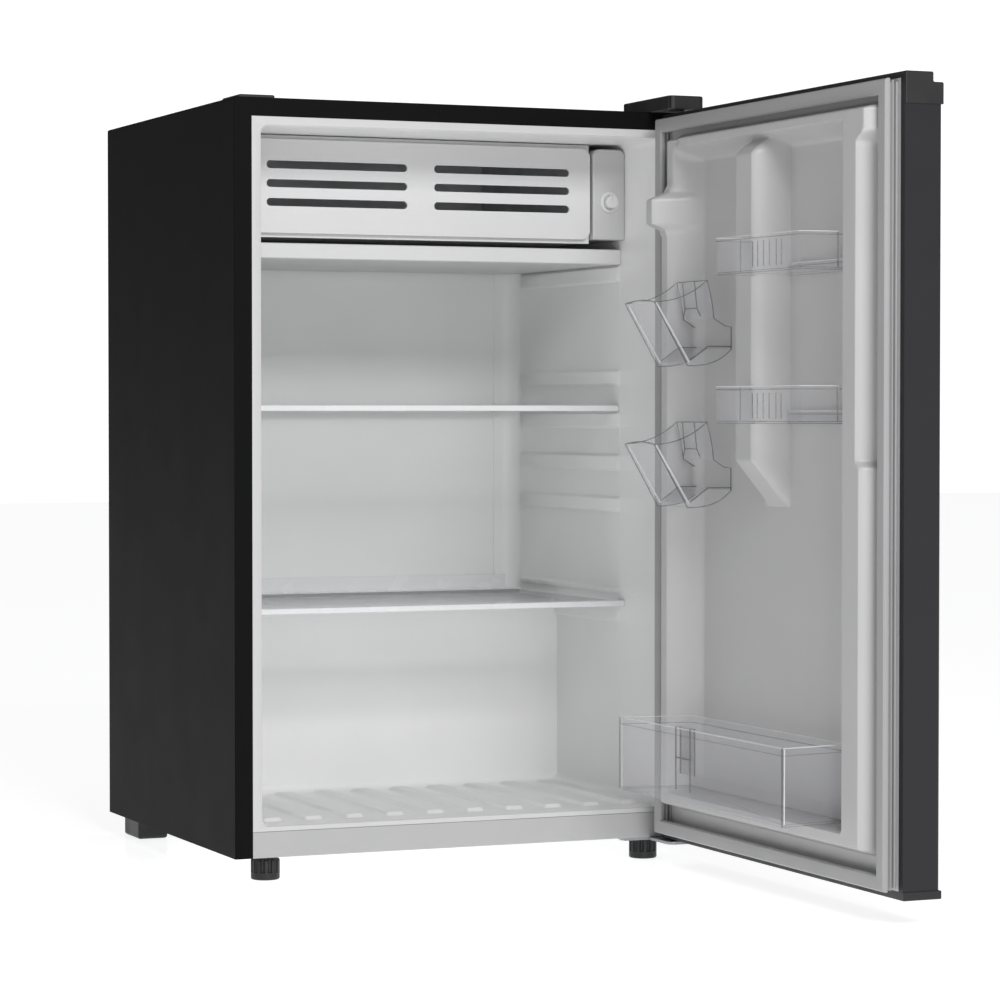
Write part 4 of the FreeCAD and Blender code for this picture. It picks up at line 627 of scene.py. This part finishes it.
# Radii of the step's foot and nose and of the back corners, and the back wall's sunk panel.
STEP_FOOT = 8
STEP_NOSE = 6
BACK_CORNER = 18
PANEL_SINK = 1.6
PANEL_EDGE = (27, 28.2)

CORNER_TURNS = range(15, 90, 15)
STEP_TURNS = (0, 30, 60, 90)
BACK_TURNS = (0, 22.5, 45, 67.5, 90)


def quarter(x, z, radius, start):
    """Points within a quarter turn about a middle, from a start angle."""
    turns = [math.radians(start + turn) for turn in CORNER_TURNS]
    return [(x + radius * math.cos(turn), z + radius * math.sin(turn)) for turn in turns]


def ring_outline(low, high, corner, levels, rib, ledge):
    """One closed ring of the cavity, from the floor's left end anticlockwise, seen from the front."""
    (x0, z0), (x1, z1) = low, high
    left, right = x0 + corner, x1 - corner
    bottom, top = z0 + corner, z1 - corner
    floor_lines = [left + (right - left) * n / FLOOR_LINES for n in range(FLOOR_LINES + 1)]
    return [
        *[(x, z0 + rib(x)) for x in floor_lines],
        *quarter(right, bottom, corner, -90),
        *[(x1 - ledge(z), z) for z in levels],
        *quarter(right, top, corner, 0),
        (right, z1),
        ((x0 + x1) / 2, z1),
        (left, z1),
        *quarter(left, top, corner, 90),
        *[(x0 + ledge(z), z) for z in reversed(levels)],
        *quarter(left, bottom, corner, 180),
    ]


def cavity_stations(floor, step_top, back, sizes):
    """The cavity's rings, front to back: depth, inset, bottom, ribs' rise and ledges' reach."""
    rib = sizes.rib_rise
    reach = sizes.ledge_reach
    stations = [(deep, inset, floor, 0, 0) for deep, inset in MOUTH]
    stations += [
        (RIB_START[0], 0, floor, 0, 0),
        (RIB_START[1], 0, floor, rib, 0),
        (LEDGE_START[0], 0, floor, rib, 0),
        (LEDGE_START[1], 0, floor, rib, reach * 0.5),
        (LEDGE_START[2], 0, floor, rib, reach),
        (STEP_FRONT - RIB_END[0], 0, floor, rib, reach),
        (STEP_FRONT - RIB_END[1], 0, floor, 0, reach),
    ]
    for turn in map(math.radians, STEP_TURNS):
        deep = STEP_FRONT - STEP_FOOT * (1 - math.sin(turn))
        stations.append((deep, 0, floor + STEP_FOOT * (1 - math.cos(turn)), 0, reach))
    for turn in map(math.radians, STEP_TURNS):
        deep = STEP_FRONT + STEP_NOSE * (1 - math.cos(turn))
        stations.append((deep, 0, step_top - STEP_NOSE * (1 - math.sin(turn)), 0, reach))
    stations += [(back - LEDGE_END[0], 0, step_top, 0, reach), (back - LEDGE_END[1], 0, step_top, 0, 0)]
    for turn in map(math.radians, BACK_TURNS):
        deep = back - PANEL_SINK - BACK_CORNER * (1 - math.sin(turn))
        stations.append((deep, BACK_CORNER * (1 - math.cos(turn)), step_top, 0, 0))
    stations += [(back - PANEL_SINK, PANEL_EDGE[0], step_top, 0, 0), (back, PANEL_EDGE[1], step_top, 0, 0)]
    return stations


def build_cabinet_liner(sizes):
    """White formed cabinet liner: flange, rounded mouth, ledges, ribs and step."""
    outer_low, outer_high = cabinet_span("inner_liner")
    tray_low, tray_high = cabinet_span("drip_tray")
    x0 = tray_low[0] - SLIDE_GAP
    x1 = tray_high[0] + SLIDE_GAP
    back = outer_high[1] - LINER_WALL
    floor = cabinet_span("kick_plate")[1][2] + FLOOR_OVER_KICK
    ceiling = cabinet_span("thermostat_housing")[1][2] + CEILING_GAP
    step_top = cabinet_span("lower_shelf_rear_trim")[0][2] - REST_GAP
    glass = cabinet_span("lower_shelf_glass")[0][2]
    shelf_ledge = cabinet_span("upper_shelf_rear_trim")[0][2] - REST_GAP - LEDGE_HEIGHT
    tray_ledge = tray_low[2] - REST_GAP - LEDGE_HEIGHT
    corner = sizes.mouth_corner

    ledges = [shelf_ledge + LEDGE_PITCH * n for n in (-2, -1, 0, 1)] + [tray_ledge]
    bands = [(z, z + LEDGE_HEIGHT) for z in ledges]
    bands += [(step_top - LEDGE_HEIGHT, step_top), (glass + GLASS_BAND[0], glass + GLASS_BAND[1])]
    half_round = LEDGE_ROUND / 2
    step_band = step_top - LEDGE_HEIGHT
    low_levels = [step_band, step_band + half_round, step_band + LEDGE_ROUND, step_top - LEDGE_ROUND]
    edges = []
    for a, b in bands:
        edges += [a, a + half_round, a + LEDGE_ROUND, b - LEDGE_ROUND, b - half_round, b]
    inside = {round(z, 3) for z in edges if step_top + corner + 1 < z < ceiling - corner - 1}
    high_levels = sorted(inside | {ceiling - corner})

    def levels(bottom):
        """Heights of a ring's side points; the low ones bunch up as its bottom rises to the step."""
        start = bottom + corner
        if bottom > step_top - 1:
            return [start] * (len(low_levels) + 1) + high_levels
        return [start] + [max(start, min(z, step_top + corner)) for z in low_levels] + high_levels

    def ledge_share(z):
        return max(ease(z, a, a + LEDGE_ROUND) * (1 - ease(z, b - LEDGE_ROUND, b)) for a, b in bands)

    def rib_share(x):
        place = ((x - x0) * FLOOR_RIBS / (x1 - x0)) % 1.0
        return ease(place, *RIB_FLANKS[:2]) * (1 - ease(place, *RIB_FLANKS[2:]))

    rings = []
    for deep, inset, bottom, rib, reach in cavity_stations(floor, step_top, back, sizes):
        flare = min(inset, 0)
        ring = ring_outline(
            (x0 + inset, bottom + flare / 2), (x1 - inset, ceiling - flare / 2), corner + flare,
            levels(bottom), lambda x: rib * rib_share(x), lambda z: reach * ledge_share(z))
        rings.append((deep, ring))

    near = corner * 0.6

    def to_flange(x, z):
        """The flange's outer edge, straight out from a point on the mouth."""
        if z <= floor + near:
            z = outer_low[2]
        if z >= ceiling - near:
            z = outer_high[2]
        if x <= x0 + near:
            x = outer_low[0]
        if x >= x1 - near:
            x = outer_high[0]
        return x, z

    rings.insert(0, (0, [to_flange(x, z) for x, z in rings[0][1]]))
    rows = [[in_cabinet(x, deep, z) for x, z in reversed(ring)] for deep, ring in rings]
    mesh = Mesh()
    # The flange and the mouth's flare take the flange finish, the liner's white with painted shade.
    mesh.grid(rows[:3], 1, close=True)
    mesh.grid(rows[2:], close=True)
    mesh.faces.append(list(range(len(mesh.points) - len(rows[-1]), len(mesh.points))))
    mesh.marks.append(0)
    finishes = ["white_liner", "flange_white"]
    return mesh.piece("cabinet_liner_sheet", "cabinet", finishes, ["inner_liner"])


# ---------------------------------------------------------------- clear bins
# The clear parts' finishes: the see-through face, a painted dark edge (painted shade standing in for
# refraction along edges and ribs) and a painted highlight on rims and bars.
CLEAR = ["clear_plastic", "clear_painted_dark_edge", "clear_painted_highlight"]
FACE, PAINTED_DARK_EDGE, PAINTED_HIGHLIGHT = range(3)

# A tub's rounded foot, floor and rim: shares of the wall or mm below the rim.
FOOT_IN = 0.4
FOOT_UP = 0.5
FLOOR_IN = 1.5
FLOOR_ROUND = 1.4
RIM_UNDER = (0.5, 1.1)
RIM_TOP = 0.8
RIM_ROUND_IN = 0.3

# The small bins' plan: slanted hinge end, where it bends, corner radii; then back and ribs.
SMALL_SLANT = 11.0
SMALL_BEND = -29.5
SMALL_RADII = (4, 10, 4, 3, 4, 4)
SMALL_BACK = 13
SMALL_BACK_SPAN = (-6, 4)
SMALL_RIBS = (0.50, 0.56, 0.63, 0.70, 0.78, 0.84)
SMALL_RIB_SPAN = (5, 7)
SMALL_RIB_OUT = 0.2
SMALL_CREASES = (3.4, 1.6)
SMALL_CREASE_OUT = -24
SMALL_STEP = 5.0

# The bottom bin's plan and back, and the divider that clips over its front wall.
BOTTOM_RADII = (3, 3, 16, 16)
BOTTOM_BACK = 25
BOTTOM_BACK_SPAN = (2, 0.4)
BOTTOM_STEP = 8.0
CREASE_IN = (0.8, 3.2)
DIVIDER_SHARE = 0.38
DIVIDER_WIDTH = 32
DIVIDER_GAP = 0.3
DIVIDER_IN = 4
DIVIDER_TOP = 1.5
DIVIDER_FEET = (14, 30)
DIVIDER_BRIDGE = 46


def clear_tub(mesh, plan, base, top_of, sizes, band):
    """A thin-walled tub with a thicker band under its rim."""
    wall = sizes.bin_wall
    proud = offset(plan, sizes.rim_proud)
    inner = offset(plan, -wall)
    top = [top_of(out) for across, out in plan]

    def level(outline, up):
        return [on_door(a, out, up) for a, out in outline]

    def below_rim(outline, down):
        return [on_door(a, out, height - down) for (a, out), height in zip(outline, top)]

    foot = level(offset(plan, -wall * FOOT_IN), base)
    heel = level(plan, base + wall * FOOT_UP)
    under = below_rim(plan, band)
    band_foot = below_rim(proud, band - RIM_UNDER[1])
    band_top = below_rim(proud, RIM_TOP)
    rim_in = below_rim(inner, 0)
    toe = level(inner, base + wall * FLOOR_ROUND)
    floor = level(offset(plan, -wall * FLOOR_IN), base + wall)
    # The foot, the band under the rim and the floor's edge are drawn with the painted dark edge; the rim's
    # top with the painted highlight.
    mesh.grid([foot, heel], PAINTED_DARK_EDGE, close=True)
    mesh.grid([heel, under], FACE, close=True)
    mesh.grid([under, below_rim(proud, band - RIM_UNDER[0]), band_foot], PAINTED_DARK_EDGE, close=True)
    mesh.grid([band_foot, band_top], FACE, close=True)
    rim_out = below_rim(offset(plan, sizes.rim_proud * RIM_ROUND_IN), 0)
    mesh.grid([band_top, rim_out, rim_in], PAINTED_HIGHLIGHT, close=True)
    mesh.grid([rim_in, toe], FACE, close=True)
    mesh.grid([toe, floor], PAINTED_DARK_EDGE, close=True)
    mesh.add(floor, [list(range(len(plan)))[::-1]], FACE)
    mesh.add(foot, [list(range(len(plan)))], FACE)


def build_small_bin(name, sizes):
    """A small clear bin: slanted hinge end, low back, ribbed front and rim."""
    low, high = door_span(name)
    base, top = low[2], high[2]
    inner_end = low[0] + SMALL_SLANT
    heel = SMALL_BEND - SMALL_SLANT
    corners = [
        (low[0], low[1]),
        (high[0], low[1]),
        (high[0], high[1]),
        (inner_end, high[1]),
        (inner_end, SMALL_BEND),
        (low[0], heel),
    ]
    plan = divided(rounded(corners, SMALL_RADII), SMALL_STEP)

    def top_of(out):
        return top - (top - base - SMALL_BACK) * ease(out, *SMALL_BACK_SPAN)

    mesh = Mesh()
    clear_tub(mesh, plan, base, top_of, sizes, sizes.rim_band)
    # Ribs and creases are drawn as bars in the painted dark edge.
    front = low[1] - SMALL_RIB_OUT
    for share in SMALL_RIBS:
        a = low[0] + (high[0] - low[0]) * share
        ends = on_door(a, front, base + SMALL_RIB_SPAN[0]), on_door(a, front, top - SMALL_RIB_SPAN[1])
        mesh.bar(ends, sizes.bead * MM, PAINTED_DARK_EDGE)
    creases = (low[0] + SMALL_CREASES[0], heel), (high[0] - SMALL_CREASES[1], SMALL_CREASE_OUT)
    for a, out in creases:
        mesh.bar([on_door(a, out, base + 3), on_door(a, out, top - 1)], sizes.bead * 1.3 * MM, PAINTED_DARK_EDGE)
    return mesh.piece(name + "_tub", name, CLEAR, [name])


def build_bottom_bin(sizes):
    """The wide bottom bin with its low back and its bottle divider."""
    name = "bottom_bin"
    low, high = door_span(name)
    base, top = low[2], high[2]
    front = low[1]
    corners = [(low[0], front), (high[0], front), (high[0], high[1]), (low[0], high[1])]
    plan = divided(rounded(corners, BOTTOM_RADII, 6), BOTTOM_STEP)

    def top_of(out):
        lowered = ease(out, BOTTOM_BACK_SPAN[0], high[1] - BOTTOM_BACK_SPAN[1])
        return top - (top - base - BOTTOM_BACK) * lowered

    mesh = Mesh()
    clear_tub(mesh, plan, base, top_of, sizes, sizes.rim_band * 2)
    outer, inner = (front + gap for gap in CREASE_IN)
    # Each crease is a bar in the painted dark edge beside a bar in the painted highlight; the divider's
    # loops and bridge also take the painted dark edge.
    for a in (low[0] + CREASE_IN[0], high[0] - CREASE_IN[0]):
        mesh.bar([on_door(a, outer, base + 1), on_door(a, outer, top)], sizes.bead * 1.5 * MM, PAINTED_DARK_EDGE)
        mesh.bar([on_door(a, inner, base + 3), on_door(a, inner, top - 1)], sizes.bead * 1.3 * MM, PAINTED_HIGHLIGHT)
    left = low[0] + (high[0] - low[0]) * DIVIDER_SHARE
    right = left + DIVIDER_WIDTH
    out = front - sizes.rim_proud - DIVIDER_GAP
    behind = front + DIVIDER_IN
    over = top + DIVIDER_TOP
    for a in (left, right):
        loop = [
            on_door(a, out, base + DIVIDER_FEET[0]),
            on_door(a, out, over),
            on_door(a, behind, over),
            on_door(a, behind, base + DIVIDER_FEET[1]),
        ]
        mesh.bar(loop, sizes.bead * 1.4 * MM, PAINTED_DARK_EDGE)
    bridge = base + DIVIDER_BRIDGE
    mesh.slab(on_door, (left, out, over - 0.6), (right, behind + 0.4, over + 0.6), FACE)
    mesh.slab(on_door, (left, behind - 0.6, base + DIVIDER_FEET[1]), (right, behind + 0.6, over - 0.5), FACE)
    mesh.slab(on_door, (left, out - 0.4, bridge), (right, out + 0.4, bridge + 1.5), PAINTED_DARK_EDGE)
    return mesh.piece("bottom_bin_tub", name, CLEAR, [name])


# ---------------------------------------------------------------- can holders
# Side profile: (out, up over the holder's base) of its corners, and what its curves lean to.
CAN_TOE_SHARE = 0.52
CAN_LIP_UP = 65
CAN_BACK_OUT = -19
CAN_NECK = (-11, 49)
CAN_HEEL_UP = 40
CAN_TAIL_UP = 17
CAN_SHOULDER = (8, 41.5)
UNDER_LEAN = (-8, -1.5)
CROWN_LEAN = (-44, 66)
BACK_LEAN = (-13, 70)

# Its floor, the bowed lip, and the clip on its back: rib places, feet and heights.
CAN_FLOOR_OUT = -17.0
CAN_FLOOR_UP = (6, 20)
CAN_FLOOR_THICK = 2
CAN_TOE_IN = 4
CAN_BOW = 5
CLIP_RIBS = ((16, 11), (44, 50))
CLIP_UP = (28, 36)


def curve_between(start, end, pull, steps=8):
    """Points on a curve between two points, pulled towards a third."""
    points = []
    for step in range(steps + 1):
        t = step / steps
        points.append(tuple(
            (1 - t) ** 2 * a + 2 * t * (1 - t) * c + t * t * b for a, b, c in zip(start, end, pull)))
    return points


def build_can_holder(name, sizes):
    """A clear tilted cup for a can: curved cheeks, sloping lip, bent floor and clip."""
    low, high = door_span(name)
    base, top = low[2], high[2]
    lip, rear = low[1], high[1]
    wall = sizes.bin_wall
    bead = sizes.bead * MM
    near, far = low[0] + wall, high[0] - wall

    def over_base(place):
        return place[0], base + place[1]

    toe = (lip * CAN_TOE_SHARE, base)
    lip_top = (lip, base + CAN_LIP_UP)
    back_top = (CAN_BACK_OUT, top)
    neck = over_base(CAN_NECK)
    under = curve_between(toe, (rear, base + CAN_TAIL_UP), over_base(UNDER_LEAN))
    heel = [(rear, base + CAN_HEEL_UP), (rear - CAN_SHOULDER[0], base + CAN_SHOULDER[1])]
    spine = curve_between(neck, back_top, over_base(BACK_LEAN), 3)
    crown = curve_between(back_top, lip_top, over_base(CROWN_LEAN))
    cheek = under + heel + spine + crown[1:]
    mesh = Mesh()
    # Each cheek's outline is a bar in the painted dark edge.
    for start, end in ((low[0], near), (far, high[0])):
        mesh.plate(on_door, cheek, start, end, FACE)
        mesh.bar([on_door((start + end) / 2, out, up) for out, up in cheek + cheek[:1]], bead * 1.2, PAINTED_DARK_EDGE)

    slope = Vector((lip_top[0] - toe[0], lip_top[1] - toe[1])).normalized()
    inward = Vector((slope.y, -slope.x)) * wall
    front = [
        toe,
        lip_top,
        (lip_top[0] + inward.x, lip_top[1] + inward.y),
        (toe[0] + inward.x, toe[1] + inward.y),
    ]
    mesh.plate(on_door, front, near, far, FACE)
    bow = curve_between((near, 0), (far, 0), ((near + far) / 2, CAN_BOW), 6)
    # The lip is drawn with a bar in the painted dark edge and, just inside it, a bar in the painted
    # highlight.
    mesh.bar([on_door(a, lip + 1, lip_top[1] + rise) for a, rise in bow], bead * 1.3, PAINTED_DARK_EDGE)
    mesh.bar([on_door(a, lip + 2.6, lip_top[1] + rise - 1.8) for a, rise in bow], bead * 1.4, PAINTED_HIGHLIGHT)
    inward *= 1.4
    # Bars in the painted highlight run along the front's sides and down the back; the floor's and clip's
    # bars take the painted dark edge.
    for a in (near, far):
        edge = [
            on_door(a, toe[0] + inward.x, toe[1] + inward.y + 2),
            on_door(a, lip + inward.x, lip_top[1] + inward.y - 2),
        ]
        mesh.bar(edge, bead * 1.8, PAINTED_HIGHLIGHT)
        mesh.bar([on_door(a, CAN_BACK_OUT + 1, top - 2), on_door(a, neck[0] + 1, neck[1])], bead, PAINTED_HIGHLIGHT)

    floor_start = toe[0] + CAN_TOE_IN
    floor_low, floor_high = (base + up for up in CAN_FLOOR_UP)
    floor_top = [(floor_start, floor_low), (CAN_FLOOR_OUT, floor_high), (rear, floor_high)]
    floor_under = [(out, up - CAN_FLOOR_THICK) for out, up in floor_top[::-1]]
    mesh.plate(on_door, floor_top + floor_under, near, far, FACE)
    for a in (near, far):
        mesh.bar([on_door(a, out, up) for out, up in floor_top], bead * 1.3, PAINTED_DARK_EDGE)
    shin = [neck, back_top, (CAN_BACK_OUT + wall, top), (neck[0] + wall, neck[1])]
    mesh.plate(on_door, shin, near, far, FACE)
    mesh.bar([on_door(a, CAN_BACK_OUT + 1, top) for a in (near, far)], bead, PAINTED_DARK_EDGE)

    bridge, feet = (top - down for down in CLIP_UP)
    for rib, foot in CLIP_RIBS:
        clip = [
            on_door(low[0] + rib, CAN_BACK_OUT - 1, top),
            on_door(low[0] + rib, CAN_BACK_OUT + 2, bridge),
            on_door(low[0] + foot, CAN_BACK_OUT + 3, feet),
        ]
        mesh.bar(clip, bead * 1.2, PAINTED_DARK_EDGE)
    mesh.bar([on_door(low[0] + rib, CAN_BACK_OUT + 2, bridge) for rib, foot in CLIP_RIBS], bead, PAINTED_DARK_EDGE)
    return mesh.piece(name + "_cup", name, CLEAR, [name])


# ---------------------------------------------------------------- stage
KEY_LIGHT = {"place": (-0.15, -3.1, 2.15), "aim": (0.0, 0.3, 0.25), "width": 1.5, "height": 0.9}
LOW_LIGHT = {"place": (-0.2, -3.2, 0.5), "aim": (-0.02, 0.3, 0.15), "width": 1.2, "height": 0.6}
FLOOR_HALF = 14.0
FLOOR_GLOW = 0.76
BACKDROP_WHITE = 1.1


def make_area(name, place, aim, width, height, power):
    """A soft rectangular light aimed at a point."""
    lamp = bpy.data.lights.new(name, "AREA")
    lamp.shape = "RECTANGLE"
    lamp.size = width
    lamp.size_y = height
    lamp.energy = power
    stand = bpy.data.objects.new(name, lamp)
    bpy.context.scene.collection.objects.link(stand)
    stand.location = place
    look = Vector(aim) - Vector(place)
    stand.rotation_euler = look.to_track_quat("-Z", "Y").to_euler()


def make_floor():
    """A pale glossy studio floor."""
    mesh = bpy.data.meshes.new("studio_floor")
    corners = [(x * FLOOR_HALF, y * FLOOR_HALF, 0) for x, y in ((-1, -1), (1, -1), (1, 1), (-1, 1))]
    mesh.from_pydata(corners, [], [(0, 1, 2, 3)])
    floor = bpy.data.objects.new("studio_floor", mesh)
    bpy.context.scene.collection.objects.link(floor)
    material, shader = blank_material("pale_floor")
    mottle(material, shader, (0.93, 0.93, 0.935), 0.995, 2.0)
    shader.inputs["Roughness"].default_value = 0.14
    shader.inputs["Specular IOR Level"].default_value = 0.16
    shader.inputs["Emission Color"].default_value = (1, 1, 1, 1)
    shader.inputs["Emission Strength"].default_value = FLOOR_GLOW
    mesh.materials.append(material)


def make_world(stage):
    """White around the object; gloss reflects a darker studio."""
    world = bpy.data.worlds.new("studio_world")
    bpy.context.scene.world = world
    world.use_nodes = True
    tree = world.node_tree
    lit = tree.nodes["Background"]
    lit.inputs["Color"].default_value = (1, 1, 1, 1)
    lit.inputs["Strength"].default_value = stage.ambient
    seen = tree.nodes.new("ShaderNodeBackground")
    seen.inputs["Strength"].default_value = BACKDROP_WHITE
    seen.inputs["Color"].default_value = (1, 1, 1, 1)
    gloss = tree.nodes.new("ShaderNodeBackground")
    gloss.inputs["Strength"].default_value = stage.mirrored
    gloss.inputs["Color"].default_value = (0.98, 0.98, 1, 1)
    path = tree.nodes.new("ShaderNodeLightPath")
    for_gloss = tree.nodes.new("ShaderNodeMixShader")
    for_camera = tree.nodes.new("ShaderNodeMixShader")
    tree.links.new(path.outputs["Is Glossy Ray"], for_gloss.inputs[0])
    tree.links.new(lit.outputs[0], for_gloss.inputs[1])
    tree.links.new(gloss.outputs[0], for_gloss.inputs[2])
    tree.links.new(path.outputs["Is Camera Ray"], for_camera.inputs[0])
    tree.links.new(for_gloss.outputs[0], for_camera.inputs[1])
    tree.links.new(seen.outputs[0], for_camera.inputs[2])
    tree.links.new(for_camera.outputs[0], tree.nodes["World Output"].inputs["Surface"])


def make_camera(stage):
    """The camera, and plain colour with no film curve."""
    camera = bpy.data.cameras.new("studio_camera")
    camera.lens = stage.camera_lens
    camera.sensor_width = 36.0
    camera.clip_end = 50.0
    stand = bpy.data.objects.new("studio_camera", camera)
    bpy.context.scene.collection.objects.link(stand)
    stand.location = stage.camera_place
    stand.rotation_euler = (math.radians(90) - stage.camera_tilt, 0, -stage.camera_turn)
    bpy.context.scene.camera = stand
    bpy.context.scene.view_settings.view_transform = "Standard"


# ---------------------------------------------------------------- operators
class FRIDGE_OT_finishes(bpy.types.Operator):
    """Make the finishes and give every fixed node its own"""

    bl_idname = "fridge.finishes"
    bl_label = "Finishes"

    def execute(self, context):
        FINISHES.update(make_finishes(context.scene.fridge_colours))
        slots = {part["node"]: part["material_slot"] for part in frame["record"]["subparts"]}
        for name, node in NODES.items():
            node.data.materials.clear()
            node.data.materials.append(FINISHES[OWN_FINISH.get(name, slots[name])])
        return {"FINISHED"}


class FRIDGE_OT_door_liner(bpy.types.Operator):
    """Build the formed door liner"""

    bl_idname = "fridge.door_liner"
    bl_label = "Door Liner"

    def execute(self, context):
        build_door_liner(context.scene.fridge_sizes)
        return {"FINISHED"}


class FRIDGE_OT_gasket(bpy.types.Operator):
    """Build the door gasket"""

    bl_idname = "fridge.gasket"
    bl_label = "Gasket"

    def execute(self, context):
        build_gasket()
        return {"FINISHED"}


class FRIDGE_OT_cabinet_liner(bpy.types.Operator):
    """Build the formed cabinet liner"""

    bl_idname = "fridge.cabinet_liner"
    bl_label = "Cabinet Liner"

    def execute(self, context):
        build_cabinet_liner(context.scene.fridge_sizes)
        return {"FINISHED"}


class FRIDGE_OT_bins(bpy.types.Operator):
    """Build the two small bins and the bottom bin"""

    bl_idname = "fridge.bins"
    bl_label = "Door Bins"

    def execute(self, context):
        for name in ("upper_bin", "lower_bin"):
            build_small_bin(name, context.scene.fridge_sizes)
        build_bottom_bin(context.scene.fridge_sizes)
        return {"FINISHED"}


class FRIDGE_OT_can_holders(bpy.types.Operator):
    """Build the two can holders"""

    bl_idname = "fridge.can_holders"
    bl_label = "Can Holders"

    def execute(self, context):
        for name in ("upper_can_holder", "lower_can_holder"):
            build_can_holder(name, context.scene.fridge_sizes)
        return {"FINISHED"}


class FRIDGE_OT_stage(bpy.types.Operator):
    """Set up the floor, the light and the camera"""

    bl_idname = "fridge.stage"
    bl_label = "Stage"

    def execute(self, context):
        stage = context.scene.fridge_stage
        make_camera(stage)
        make_floor()
        make_world(stage)
        make_area("key_light", power=stage.key_power, **KEY_LIGHT)
        make_area("low_light", power=stage.low_power, **LOW_LIGHT)
        return {"FINISHED"}


STEPS = (
    FRIDGE_OT_finishes,
    FRIDGE_OT_door_liner,
    FRIDGE_OT_gasket,
    FRIDGE_OT_cabinet_liner,
    FRIDGE_OT_bins,
    FRIDGE_OT_can_holders,
    FRIDGE_OT_stage,
)


class FRIDGE_PT_panel(bpy.types.Panel):
    """Sizes, colours and pieces of the fridge"""

    bl_label = "Mini Fridge"
    bl_space_type = "VIEW_3D"
    bl_region_type = "UI"
    bl_category = "Mini Fridge"

    def draw(self, context):
        for group in ("fridge_colours", "fridge_sizes", "fridge_stage"):
            settings = getattr(context.scene, group)
            for name in settings.__annotations__:
                self.layout.prop(settings, name)
        for step in STEPS:
            self.layout.operator(step.bl_idname)


GROUPS = {
    "fridge_colours": FridgeColours,
    "fridge_sizes": FridgeSizes,
    "fridge_stage": FridgeStage,
}


def register():
    for group in (*GROUPS.values(), *STEPS, FRIDGE_PT_panel):
        bpy.utils.register_class(group)
    for name, group in GROUPS.items():
        setattr(bpy.types.Scene, name, bpy.props.PointerProperty(type=group))


def unregister():
    for name in GROUPS:
        delattr(bpy.types.Scene, name)
    for group in (FRIDGE_PT_panel, *reversed(STEPS), *reversed(GROUPS.values())):
        bpy.utils.unregister_class(group)


def main():
    register()
    for step in STEPS:
        family, name = step.bl_idname.split(".")
        getattr(getattr(bpy.ops, family), name)()


if __name__ == "__main__":
    main()
